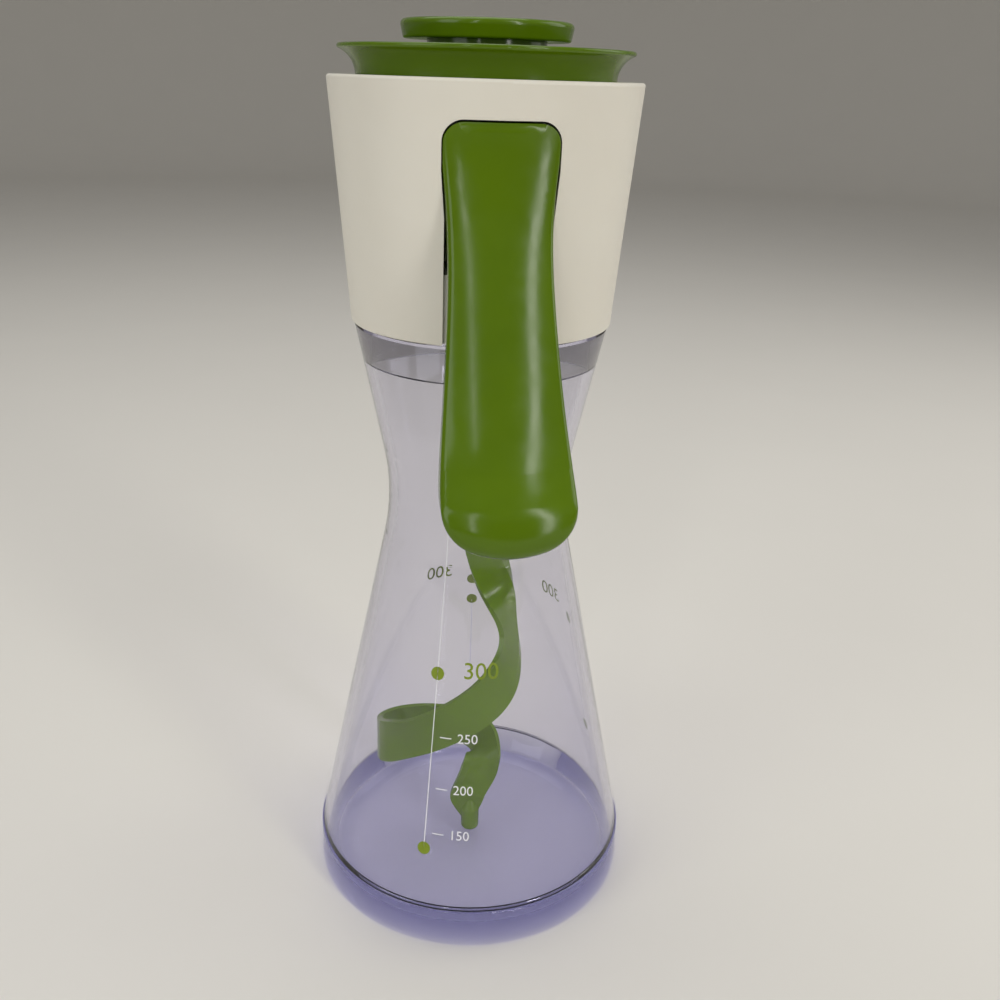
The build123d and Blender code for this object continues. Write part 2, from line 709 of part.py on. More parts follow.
def make_pod_lid():
    """Cover of the gear pod, with the upper bearings of both axles."""
    plan = pod_plan(0, CURTAIN_Y + CURTAIN_WALL + SEAT_GAP)
    low = POD_TOP
    lid = prism(plan, low, low + LID_THICKNESS)
    lid += disc(2.6, PINION_FOOT + PINION_FACE + OPEN_GAP, low + 0.5, 0, AXLE_Y)
    lid -= disc(AXLE_RADIUS, PINION_FOOT, low + 1, 0, AXLE_Y)
    lid += disc(BUSH_RADIUS + 1.2, CLIP_TOP + OPEN_GAP, low + 0.5)
    lid -= disc(BUSH_RADIUS, PINION_FOOT, low + 0.7)
    for x, y in LID_SCREWS:
        lid -= disc(SCREW_SHANK + 0.15, low - 1, low + 5, x, y)
    return lid


def make_lid_screws():
    """Two small pan-head screws of the pod lid, as separate solids."""
    screws = []
    top = POD_TOP + LID_THICKNESS
    for x, y in LID_SCREWS:
        head = turned([(0, top), (SCREW_HEAD, top), (SCREW_HEAD, top + 1.2, 0.5), (0, top + 1.2)])
        head += disc(SCREW_SHANK, POD_TOP - SCREW_LENGTH, top + 0.1)
        head -= block(-1.3, 1.3, -0.25, 0.25, top + 0.6, top + 2)
        head -= block(-0.25, 0.25, -1.3, 1.3, top + 0.6, top + 2)
        screws.append(Pos(x, y, 0) * head)
    return screws


def make_hub_gear():
    """Small gear that the wheel turns, fixed on the drive shaft by a flat."""
    gear = spur_gear(HUB_TEETH, 180 / HUB_TEETH - 90, WHEEL_FOOT, HUB_GEAR_TOP)
    gear += disc(HUB_BOSS_RADIUS, HUB_GEAR_TOP - 0.1, HUB_BOSS_TOP)
    bore = disc(SHAFT_RADIUS + GRIP, WHEEL_FOOT - 1, HUB_BOSS_TOP + 1)
    bore -= block(-3, 3, SHAFT_FLAT + GRIP, 4, WHEEL_FOOT - 2, HUB_BOSS_TOP + 2)
    return gear - bore


def make_drive_shaft():
    """Steel shaft with flats for the gear and the blade, and a groove for its clip."""
    shaft = disc(SHAFT_RADIUS, SHAFT_FOOT, SHAFT_TOP)
    shaft -= block(-3, 3, SHAFT_FLAT, 4, WHEEL_FOOT, HUB_BOSS_TOP)
    shaft -= block(-3, 3, SHAFT_FLAT, 4, SHAFT_FOOT - 1, SHAFT_FOOT + SHAFT_FLAT_LENGTH)
    shaft -= tube(SHAFT_RADIUS - 0.4, SHAFT_RADIUS + 1, HUB_BOSS_TOP, CLIP_TOP + RUNNING_GAP)
    return shaft


def make_shaft_clip():
    """Spring clip in the shaft's groove that keeps the hub gear on it."""
    clip = tube(SHAFT_RADIUS - 0.38, CLIP_RADIUS, HUB_BOSS_TOP + 0.02, CLIP_TOP)
    return clip - block(-1.3, 1.3, -5, 0, HUB_BOSS_TOP - 1, CLIP_TOP + 1)


def make_floor_bush():
    """Flanged bearing of the drive shaft in the pod floor."""
    bush = disc(BUSH_RADIUS - 0.01, POD_FOOT, POD_FLOOR_TOP + 0.1)
    bush += disc(BUSH_FLANGE, POD_FLOOR_TOP, POD_FLOOR_TOP + BUSH_FLANGE_HEIGHT)
    return bush - disc(SHAFT_RADIUS + RUNNING_GAP, POD_FOOT - 1, WHEEL_FOOT + 1)


def make_lid_bush():
    """Plain bearing of the drive shaft in the pod lid."""
    return tube(SHAFT_RADIUS + RUNNING_GAP, BUSH_RADIUS - 0.01, CLIP_TOP + OPEN_GAP, POD_TOP + 0.7)


def make_shaft_seal():
    """Lip seal that keeps the dressing out of the gear pod."""
    low = SEAL_CUP_FOOT + 0.1
    high = POD_FOOT - 0.05
    lip = (low + high) / 2
    return turned(
        [
            (SHAFT_RADIUS + 0.9, low),
            (SEAL_RADIUS - GRIP, low),
            (SEAL_RADIUS - GRIP, high),
            (SHAFT_RADIUS + 0.9, high),
            (SHAFT_RADIUS + RUNNING_GAP, lip + 0.4),
            (SHAFT_RADIUS + RUNNING_GAP, lip - 0.4),
        ]
    )


def make_compound_gear():
    """Pinion on the rack and wheel on the hub gear, moulded as one piece."""
    wheel = spur_gear(WHEEL_TEETH, 90, WHEEL_FOOT, PINION_FOOT)
    web = tube(PINION_RADIUS + 1.2, WHEEL_RADIUS - 2.0, PINION_FOOT - 0.9, PINION_FOOT + 1)
    gear = wheel - web
    ring = (PINION_RADIUS + WHEEL_RADIUS) / 2
    for i in range(WHEEL_SPOKES):
        angle = 2 * math.pi * i / WHEEL_SPOKES
        gear -= disc(1.1, WHEEL_FOOT - 1, PINION_FOOT, ring * math.cos(angle), ring * math.sin(angle))
    gear += spur_gear(PINION_TEETH, 0, PINION_FOOT - 0.1, PINION_FOOT + PINION_FACE)
    gear -= disc(AXLE_RADIUS + RUNNING_GAP, WHEEL_FOOT - 1, PINION_FOOT + PINION_FACE + 1)
    return Pos(0, AXLE_Y, 0) * gear


def make_compound_axle():
    """Steel pin that the compound gear turns on."""
    return disc(AXLE_RADIUS, POD_FOOT + 0.7, POD_TOP + 0.9, 0, AXLE_Y)


def make_drive_rack():
    """Sliding bar with teeth on its top for the lever and on its side for the pinion."""
    front = LEVER_PIVOT_Y - RACK_REACH
    back = AXLE_Y + 1.1 * TOOTH_PITCH
    bar = block(RACK_BACK_X, RACK_OUTER_X, front, back, RACK_FOOT, RACK_TOP)
    top_profile = rack_tooth(RACK_ADDENDUM)
    for i in range(-3, 1):
        centre = LEVER_PIVOT_Y + (i + 0.5) * TOOTH_PITCH
        corners = [(centre + a, RACK_TOP + DEDENDUM + b) for a, b in top_profile]
        corners[0] = (corners[0][0], RACK_TOP - 0.1)
        corners[-1] = (corners[-1][0], RACK_TOP - 0.1)
        tooth = outline(corners, Plane.YZ)
        bar += Pos(RACK_BACK_X, 0, 0) * extrude(tooth, RACK_WIDTH, dir=(1, 0, 0))
    for i in range(-4, 1):
        centre = AXLE_Y + (i + 0.5) * TOOTH_PITCH
        corners = [(PINION_RADIUS - b, centre + a) for a, b in top_profile]
        corners[0] = (RACK_BACK_X + 0.1, corners[0][1])
        corners[-1] = (RACK_BACK_X + 0.1, corners[-1][1])
        bar += prism(outline(corners), RACK_FOOT, RACK_TOP)
    tongue_back = AXLE_Y - 0.4
    bar += block(
        RACK_OUTER_X - 0.1,
        RACK_OUTER_X + RACK_TONGUE,
        LEVER_PIVOT_Y + 1,
        tongue_back,
        RACK_FOOT + 1,
        RACK_TOP - 1,
    )
    return bar


def lever_section(height, reach, half, crown, skin, side, back):
    """Horizontal slice of the lever: a crowned front with soft edges and straight sides."""
    z = PIVOT_Z + height
    front = reach - LEVER_PIVOT_Y
    wide = half - side
    near = front - skin
    bend = (wide**2 + crown**2) / (2 * crown)
    edge = LEVER_EDGE - skin / 2
    centre = near - bend
    edge_x = wide - edge
    edge_y = centre + math.sqrt((bend - edge) ** 2 - edge_x**2)
    touch = bend / (bend - edge)
    touch_x = edge_x * touch
    touch_y = centre + (edge_y - centre) * touch
    lean = (math.pi / 2 + math.atan2(edge_x, edge_y - centre)) / 2
    round_x = edge_x + edge * math.sin(lean)
    round_y = edge_y + edge * math.cos(lean)

    def spot(x, y):
        return Vector(x, -y, z)

    edges = [
        Edge.make_line(Vector(wide, back, z), spot(wide, edge_y)),
        Edge.make_three_point_arc(spot(wide, edge_y), spot(round_x, round_y), spot(touch_x, touch_y)),
        Edge.make_three_point_arc(spot(touch_x, touch_y), spot(0, near), spot(-touch_x, touch_y)),
        Edge.make_three_point_arc(spot(-touch_x, touch_y), spot(-round_x, round_y), spot(-wide, edge_y)),
        Edge.make_line(spot(-wide, edge_y), Vector(-wide, back, z)),
        Edge.make_line(Vector(-wide, back, z), Vector(wide, back, z)),
    ]
    return Wire(edges)


def lever_body(skin, side, back):
    """Lofted body through all the lever's slices."""
    return Solid.make_loft([lever_section(*station, skin, side, back) for station in LEVER_STATIONS])


def lever_front_view(inset):
    """Front outline of the lever, with its rounded top corners and its round tip."""
    beyond = LEVER_HALF + 4
    tip_half = LEVER_STATIONS[-1][2] - inset
    top_half = LEVER_HALF - inset
    tip = LEVER_TIP + inset
    corner = POCKET_CORNER - LEVER_SIDE_GAP
    return outline(
        [
            (-tip_half, tip, LEVER_TIP_ROUND - inset),
            (tip_half, tip, LEVER_TIP_ROUND - inset),
            (tip_half, tip + 14),
            (beyond, tip + 16),
            (beyond, LEVER_TOP - 14),
            (top_half, LEVER_TOP - 11),
            (top_half, LEVER_TOP - inset, corner),
            (-top_half, LEVER_TOP - inset, corner),
            (-top_half, LEVER_TOP - 11),
            (-beyond, LEVER_TOP - 14),
            (-beyond, tip + 16),
            (-tip_half, tip + 14),
        ],
        Plane.XZ,
    )


def lever_side_view():
    """Side outline of the lever: all of it in front of the back edges of its sides."""

    def from_pivot(y, z):
        return Vector(LEVER_PIVOT_Y + y, PIVOT_Z + z)

    slant = LEVER_RISE * math.sqrt(0.5)
    back = [from_pivot(y, z) for y, z in LEVER_BACK]
    start = from_pivot(LEVER_RISE, 0)
    top = from_pivot(0, LEVER_RISE)
    far_top = from_pivot(-70, LEVER_RISE)
    far_tip = from_pivot(-70, 20 - LEVER_DROP)
    nose = from_pivot(LEVER_NOSE[0], LEVER_NOSE[1] - LEVER_DROP)
    chin = from_pivot(LEVER_CHIN[0], LEVER_CHIN[1] - LEVER_DROP)
    edges = [
        Edge.make_line(far_top, top),
        Edge.make_three_point_arc(top, from_pivot(slant, slant), start),
        Edge.make_spline([start] + back, tangents=[Vector(0, -1), Vector(-0.45, -1)]),
        Edge.make_three_point_arc(back[-1], chin, nose),
        Edge.make_line(nose, far_tip),
        Edge.make_line(far_tip, far_top),
    ]
    return Plane.YZ * Face(Wire(edges))


def make_squeeze_lever():
    """Green lever: a crowned skin with sides, pivot bores and cross ribs behind."""
    side_view = Pos(-30, 0, 0) * extrude(lever_side_view(), 60, dir=(1, 0, 0))
    body = lever_body(0, 0, -15) & front_cut(lever_front_view(0), -90, -10) & side_view
    hollow = lever_body(LEVER_WALL, LEVER_SIDE_WALL, -10)
    hollow = hollow & front_cut(lever_front_view(LEVER_SIDE_WALL), -90, -5)
    lever = body - hollow
    set_back = body & (Pos(0, -RIB_SET_BACK, 0) * body)
    for height in LEVER_RIBS:
        low = PIVOT_Z + height - LEVER_RIB / 2
        lever += block(-20, 20, -90, -10, low, low + LEVER_RIB) & set_back
    for rib_x in (SECTOR_X - SEAT_GAP - LEVER_RIB, SECTOR_X + SECTOR_THICKNESS + SEAT_GAP):
        keeper = block(rib_x, rib_x + LEVER_RIB, -60, LEVER_PIVOT_Y - 3.6, PIVOT_Z - 15, PIVOT_Z - 4)
        lever += keeper & body
    seat_z = PIVOT_Z - SPRING_LEG
    leg_y = LEVER_PIVOT_Y - SPRING_RADIUS - SPRING_WIRE
    pad = block(SPRING_RIGHT - 1, SPRING_RIGHT + 1, -60, leg_y - RUNNING_GAP, seat_z, seat_z + SPRING_SEAT)
    lever += pad & body
    lever -= cross_rod(LEVER_PIN_RADIUS + RUNNING_GAP, -20, 20, LEVER_PIVOT_Y, PIVOT_Z)

    # Relief that the end of the rack runs into when the lever is squeezed
    relief_y = LEVER_PIVOT_Y - RACK_REACH - RACK_RELIEF
    lever -= block(
        RACK_BACK_X - OPEN_GAP, RACK_OUTER_X + OPEN_GAP, relief_y, relief_y + 3, RACK_TOP - 2, RACK_TOP + 3.6
    )
    return lever


def make_lever_gear():
    """Toothed sector that the lever swings about its pin to push the rack."""
    first, last = -2, 1
    step = 2 * math.pi / SECTOR_TEETH
    edges = []
    for i in range(first, last + 1):
        tooth = tooth_edges(SECTOR_TEETH, -math.pi / 2 + i * step)
        if edges:
            edges.append(Edge.make_line(edges[-1] @ 1, tooth[0] @ 0))
        edges += tooth
    side_start = Vector(-2.6, -3)
    side_end = Vector(3.6, -1)
    edges.append(Edge.make_line(edges[-1] @ 1, side_end))
    edges.append(Edge.make_line(side_end, Vector(3.6, 1)))
    edges.append(Edge.make_line(Vector(3.6, 1), Vector(-3.6, 1)))
    edges.append(Edge.make_line(Vector(-3.6, 1), side_start))
    edges.append(Edge.make_line(side_start, edges[0] @ 0))
    at_pivot = Plane.YZ
    plate = extrude(at_pivot * Face(Wire(edges)), SECTOR_THICKNESS, dir=(1, 0, 0))
    heel = outline([(-3.5, -5.5), (-3.0, -3.5), (-3.0, -13.0), (-4.3, -13.0)], at_pivot)
    plate += extrude(heel, SECTOR_THICKNESS, dir=(1, 0, 0))
    plate += Rot(0, 90, 0) * Cylinder(
        SECTOR_HUB, SECTOR_THICKNESS, align=(Align.CENTER, Align.CENTER, Align.MIN)
    )
    plate = Pos(SECTOR_X, LEVER_PIVOT_Y, PIVOT_Z) * plate
    return plate - cross_rod(LEVER_PIN_RADIUS + RUNNING_GAP, 0, 20, LEVER_PIVOT_Y, PIVOT_Z)


def make_lever_pin():
    """Steel pin of the lever, held in the pod's two cheeks."""
    return cross_rod(LEVER_PIN_RADIUS, 0.1 - PIN_HALF_LENGTH, PIN_HALF_LENGTH - 0.1, LEVER_PIVOT_Y, PIVOT_Z)


def make_lever_spring():
    """Torsion spring on the lever pin: half-turn arcs between two straight legs."""
    edges = []
    back = Vector(SPRING_LEFT, LEVER_PIVOT_Y + SPRING_RADIUS, PIVOT_Z)
    edges.append(Edge.make_line(back - Vector(0, 0, SPRING_LEG), back))
    here = back
    for i in range(SPRING_HALF_TURNS):
        side = -1 if i % 2 == 0 else 1
        x = SPRING_LEFT + (i + 1) * SPRING_PITCH / 2
        end = Vector(x, LEVER_PIVOT_Y + side * SPRING_RADIUS, PIVOT_Z)
        middle = (here + end) * 0.5 + Vector(0, 0, -side * (here - end).length / 2)
        edges.append(Edge.make_three_point_arc(here, middle, end))
        here = end
    edges.append(Edge.make_line(here, here - Vector(0, 0, SPRING_LEG)))
    path = Wire(edges)
    start = edges[0] @ 0
    section = Plane(origin=start, z_dir=(0, 0, 1)) * Circle(SPRING_WIRE)
    gap = SPRING_PITCH - 2 * SPRING_WIRE
    print("lever spring, gap between its turns: %.2f mm" % gap)
    return sweep(section, path=path)


def make_pour_ring():
    """Green flared ring in the collar's mouth, with a groove for its seal."""
    rim = COLLAR_TOP + RING_RISE

    def flare(start_radius, start_height, end_radius, end_height):
        """Arc that leaves the neck straight up and turns outwards to the rim."""
        out = end_radius - start_radius
        up = end_height - start_height
        bend = (out**2 + up**2) / (2 * out)
        half = math.asin(up / bend) / 2
        middle = Vector(
            start_radius + bend * (1 - math.cos(half)), start_height + bend * math.sin(half)
        )
        return Edge.make_three_point_arc(
            Vector(start_radius, start_height), middle, Vector(end_radius, end_height)
        )

    outside = flare(RING_NECK_RADIUS, COLLAR_TOP, RING_RIM_RADIUS - 0.3, rim - RIM_THICKNESS)
    inside = flare(RING_BORE, COLLAR_TOP + 0.5, RING_RIM_RADIUS - 1.3, rim - 0.2)
    rim_round = Edge.make_three_point_arc(
        outside @ 1, Vector(RING_RIM_RADIUS, rim - RIM_THICKNESS * 0.45), Vector(RING_RIM_RADIUS - 0.5, rim)
    )
    edges = [
        Edge.make_line(Vector(RING_NECK_RADIUS, RING_FOOT), outside @ 0),
        outside,
        rim_round,
        Edge.make_line(rim_round @ 1, inside @ 1),
        Edge.make_three_point_arc(inside @ 1, inside @ 0.5, inside @ 0),
        Edge.make_line(inside @ 0, Vector(RING_BORE, RING_FOOT)),
        Edge.make_line(Vector(RING_BORE, RING_FOOT), Vector(RING_NECK_RADIUS, RING_FOOT)),
    ]
    ring = revolve(Plane.XZ * Face(Wire(edges)), Axis.Z)
    rise, height, depth = RING_GROOVE
    low = RING_FOOT + rise
    groove = tube(RING_NECK_RADIUS - depth, RING_NECK_RADIUS + 1, low, low + height)
    return ring - groove


def make_pour_ring_seal():
    """Soft ring in the pour ring's groove."""
    rise, height, depth = RING_GROOVE
    low = RING_FOOT + rise + RUNNING_GAP
    high = low + height - 2 * RUNNING_GAP
    inner = RING_NECK_RADIUS - depth + GRIP
    outer = RING_NECK_RADIUS + SEAT_GAP - 0.04
    return turned([(inner, low), (outer, low + 0.3), (outer, high - 0.3), (inner, high)])


def make_stopper_plug():
    """Green plug: a skirt in the pour ring, a dished plate and the neck of the knob."""
    low = STOPPER_SEAT - PLUG_SKIRT
    top = STOPPER_SEAT + PLUG_PLATE
    plug = turned(
        [
            (PLUG_RADIUS - PLUG_WALL, low),
            (PLUG_RADIUS, low, 0.4),
            (PLUG_RADIUS, STOPPER_SEAT - 0.4),
            (RING_BORE + GRIP, STOPPER_SEAT),
            (RING_BORE + 0.4, top, 0.5),
            (KNOB_NECK_RADIUS, top, 1.2),
            (KNOB_NECK_RADIUS, KNOB_FOOT),
            (SPIGOT_RADIUS, KNOB_FOOT),
            (SPIGOT_RADIUS, top - 2.6),
            (SPIGOT_RADIUS - 2, top - 2.6),
            (PLUG_RADIUS - PLUG_WALL, top - 3.4),
        ]
    )
    plug += disc(SPIGOT_RADIUS - 1, top - 4.2, top - 2.6)
    rise, height, depth = PLUG_GROOVE
    groove = tube(PLUG_RADIUS - depth, PLUG_RADIUS + 2, low + rise, low + rise + height)
    return plug - groove


def make_stopper_seal():
    """Silicone ring with two lips round the plug's skirt."""
    rise, height, depth = PLUG_GROOVE
    low = STOPPER_SEAT - PLUG_SKIRT + rise + RUNNING_GAP
    high = low + height - 2 * RUNNING_GAP
    middle = (low + high) / 2
    lip = RING_BORE - RUNNING_GAP
    root = PLUG_RADIUS + 0.1
    return turned(
        [
            (PLUG_RADIUS - depth + GRIP, low),
            (root, low),
            (lip, low + 0.5),
            (root, middle),
            (lip, high - 0.5),
            (root, high),
            (PLUG_RADIUS - depth + GRIP, high),
        ]
    )


def make_stopper_knob():
    """Green disc that is held to lift the stopper, with a spigot in the plug's neck."""
    top = KNOB_FOOT + KNOB_THICKNESS
    knob = turned(
        [
            (0, KNOB_FOOT + 0.02),
            (KNOB_RADIUS - KNOB_TAPER, KNOB_FOOT + 0.02, 0.6),
            (KNOB_RADIUS, top, 1.1),
            (KNOB_RADIUS * 0.6, top + KNOB_DOME * 0.8),
            (0, top + KNOB_DOME),
        ]
    )
    knob += tube(
        SPIGOT_RADIUS - SPIGOT_WALL, SPIGOT_RADIUS - RUNNING_GAP, KNOB_FOOT - SPIGOT_LENGTH, KNOB_FOOT + 0.5
    )
    return knob


def blade_place(x, y, height):
    """Place in the bottle of a point of the ribbon, with the blade parked."""
    angle = math.radians(BLADE_PARKED)
    stretch = (SHAFT_FOOT - FLOOR_THICKNESS) / BLADE_REACH
    return Vector(
        x * math.cos(angle) - y * math.sin(angle),
        x * math.sin(angle) + y * math.cos(angle),
        FLOOR_THICKNESS + height * stretch,
    )


def blade_section(path, point, width, heading, rise, ridge):
    """Slice of the ribbon, square to its path, with a ridge along its outer face."""
    along = path % path.param_at_point(point)
    turn = math.radians(heading + BLADE_PARKED)
    climb = math.radians(rise)
    across = Vector(
        math.cos(turn) * math.cos(climb), math.sin(turn) * math.cos(climb), math.sin(climb)
    )
    across = (across - along * along.dot(across)).normalized()
    outward = across.cross(along).normalized()
    half = width / 2
    ridge_at = -BLADE_RIDGE * width
    skin = BLADE_SKIN
    corners = [
        (-half, -ridge),
        (ridge_at, 0),
        (half, -ridge),
        (half, -ridge - skin),
        (ridge_at, -skin),
        (-half, -ridge - skin),
    ]
    spots = [point + across * a + outward * (b + skin / 2 + ridge / 2) for a, b in corners]
    return Wire([Edge.make_line(a, b) for a, b in zip(spots, spots[1:] + spots[:1])])


def make_mixing_blade():
    """Green ribbon that winds out round the axis and back to a pin above the floor."""
    points = [blade_place(*station[:3]) for station in BLADE_STATIONS]
    path = Edge.make_spline(points)
    wires = [
        blade_section(path, point, *station[3:]) for point, station in zip(points, BLADE_STATIONS)
    ]
    blade = Solid.make_loft(wires)
    hub_top = SEAL_CUP_FOOT - 0.4
    rod_foot = points[1].Z - 3
    blade += turned(
        [
            (0, rod_foot),
            (1.4, rod_foot),
            (BLADE_ROD_RADIUS, rod_foot + 16),
            (BLADE_HUB_RADIUS, SHAFT_FOOT - 3),
            (BLADE_HUB_RADIUS, hub_top, 0.6),
            (0, hub_top),
        ]
    )
    socket = disc(SHAFT_RADIUS + GRIP, SHAFT_FOOT - 0.5, hub_top + 1)
    socket -= block(-3, 3, SHAFT_FLAT + GRIP, 4, SHAFT_FOOT - 2, SHAFT_FOOT + SHAFT_FLAT_LENGTH)
    blade -= socket
    tip_foot = FLOOR_THICKNESS + BLADE_TIP_GAP
    blade += turned(
        [
            (0, tip_foot),
            (BLADE_TIP_RADIUS, tip_foot, 1.2),
            (BLADE_TIP_RADIUS, tip_foot + 7, 1.0),
            (1.0, tip_foot + 10),
            (0, tip_foot + 10),
        ]
    )
    return blade


def build_all():
    """Every piece by the name of its node."""
    return {
        "bottle_wall": make_bottle_wall(),
        "bottle_base": make_bottle_base(),
        "neck_seal": make_neck_seal(),
        "collar_shell": make_collar_shell(),
        "head_frame": make_head_frame(),
        "pod_lid": make_pod_lid(),
        "lid_screws": make_lid_screws(),
        "squeeze_lever": make_squeeze_lever(),
        "lever_gear": make_lever_gear(),
        "lever_pin": make_lever_pin(),
        "lever_spring": make_lever_spring(),
        "drive_rack": make_drive_rack(),
        "compound_gear": make_compound_gear(),
        "compound_axle": make_compound_axle(),
        "hub_gear": make_hub_gear(),
        "drive_shaft": make_drive_shaft(),
        "shaft_clip": make_shaft_clip(),
        "floor_bush": make_floor_bush(),
        "lid_bush": make_lid_bush(),
        "shaft_seal": make_shaft_seal(),
        "mixing_blade": make_mixing_blade(),
        "pour_ring": make_pour_ring(),
        "pour_ring_seal": make_pour_ring_seal(),
        "stopper_plug": make_stopper_plug(),
        "stopper_seal": make_stopper_seal(),
        "stopper_knob": make_stopper_knob(),
    }


def save(name, shape):
    """Write a piece's solids to its own file."""
    solids = []
    for item in shape if isinstance(shape, list) else [shape]:
        solids += item.solids()
    whole = solids[0] if len(solids) == 1 else Compound(children=solids)
    export_step(whole, "parts/" + name + ".step")
    print(name, len(solids), "solid", round(sum(s.volume for s in solids)), "mm3")


for node, shape in build_all().items():
    save(node, shape)
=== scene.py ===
import json
import logging
import math
from dataclasses import dataclass
from enum import Enum

import bmesh
import bpy
from mathutils import Matrix, Vector
from mathutils.bvhtree import BVHTree


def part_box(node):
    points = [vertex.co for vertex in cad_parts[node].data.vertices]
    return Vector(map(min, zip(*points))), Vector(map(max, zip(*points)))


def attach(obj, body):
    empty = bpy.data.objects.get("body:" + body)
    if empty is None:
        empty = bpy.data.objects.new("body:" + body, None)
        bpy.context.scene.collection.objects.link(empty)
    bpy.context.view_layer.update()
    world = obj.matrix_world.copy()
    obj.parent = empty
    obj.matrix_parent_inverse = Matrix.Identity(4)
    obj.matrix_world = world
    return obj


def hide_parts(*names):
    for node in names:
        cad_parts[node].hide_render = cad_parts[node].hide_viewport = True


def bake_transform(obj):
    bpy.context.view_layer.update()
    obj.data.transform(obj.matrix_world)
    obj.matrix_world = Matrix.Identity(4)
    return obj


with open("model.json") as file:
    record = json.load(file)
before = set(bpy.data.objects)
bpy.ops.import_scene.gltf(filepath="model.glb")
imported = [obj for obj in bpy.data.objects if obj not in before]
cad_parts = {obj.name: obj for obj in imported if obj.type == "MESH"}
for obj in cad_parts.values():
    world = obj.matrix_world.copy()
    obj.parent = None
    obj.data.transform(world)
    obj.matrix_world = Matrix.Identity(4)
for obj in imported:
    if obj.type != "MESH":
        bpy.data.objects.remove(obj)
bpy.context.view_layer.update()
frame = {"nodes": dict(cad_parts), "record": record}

MM = 0.001
MILLILITRE = 1e-6
Colour = tuple[float, float, float]
Place = tuple[float, float, float]
Range = tuple[float, float]
WHOLE: Range = (0.0, 1.0)

# The screen's colour curve: a straight foot, and a power curve above it.
CURVE_FOOT = 0.04045
CURVE_SLOPE = 12.92
CURVE_OFFSET = 0.055
CURVE_POWER = 2.4

log = logging.getLogger("mixer")


class Body(Enum):
    """The rigid bodies of the mixer that pieces ride on."""

    BOTTLE = "bottle"
    HEAD = "head"
    LEVER = "lever"


def linear(red: int, green: int, blue: int) -> Colour:
    """Turn a colour as seen on screen into the scene's linear values.

    Args:
        red: Red from 0 to 255.
        green: Green from 0 to 255.
        blue: Blue from 0 to 255.

    Returns:
        The linear colour.
    """
    def channel(value: int) -> float:
        """Undo the screen's curve for one channel."""
        share = value / 255
        if share <= CURVE_FOOT:
            return share / CURVE_SLOPE
        return ((share + CURVE_OFFSET) / (1 + CURVE_OFFSET)) ** CURVE_POWER

    return channel(red), channel(green), channel(blue)


def darker(colour: Colour, share: float) -> Colour:
    """A colour brought down to a share of itself."""
    return tuple(share * channel for channel in colour)


def settle(shape: bmesh.types.BMesh, name: str) -> bpy.types.Mesh:
    """Turn a shape that is being edited into a mesh.

    Args:
        shape: The shape, which is used up.
        name: Name of the mesh.

    Returns:
        The mesh.
    """
    mesh = bpy.data.meshes.new(name)
    shape.to_mesh(mesh)
    shape.free()
    return mesh


def put(name: str, data: bpy.types.ID) -> bpy.types.Object:
    """Make an object of some data and put it in the scene.

    Args:
        name: Name of the object.
        data: Its mesh, type, light or camera.

    Returns:
        The object.
    """
    thing = bpy.data.objects.new(name, data)
    bpy.context.scene.collection.objects.link(thing)
    return thing


@dataclass(frozen=True)
class Cloud:
    """Noise in a finish: repeats per metre, finer layers, and the values that it counts between."""

    scale: float
    detail: float
    edges: Range = WHOLE


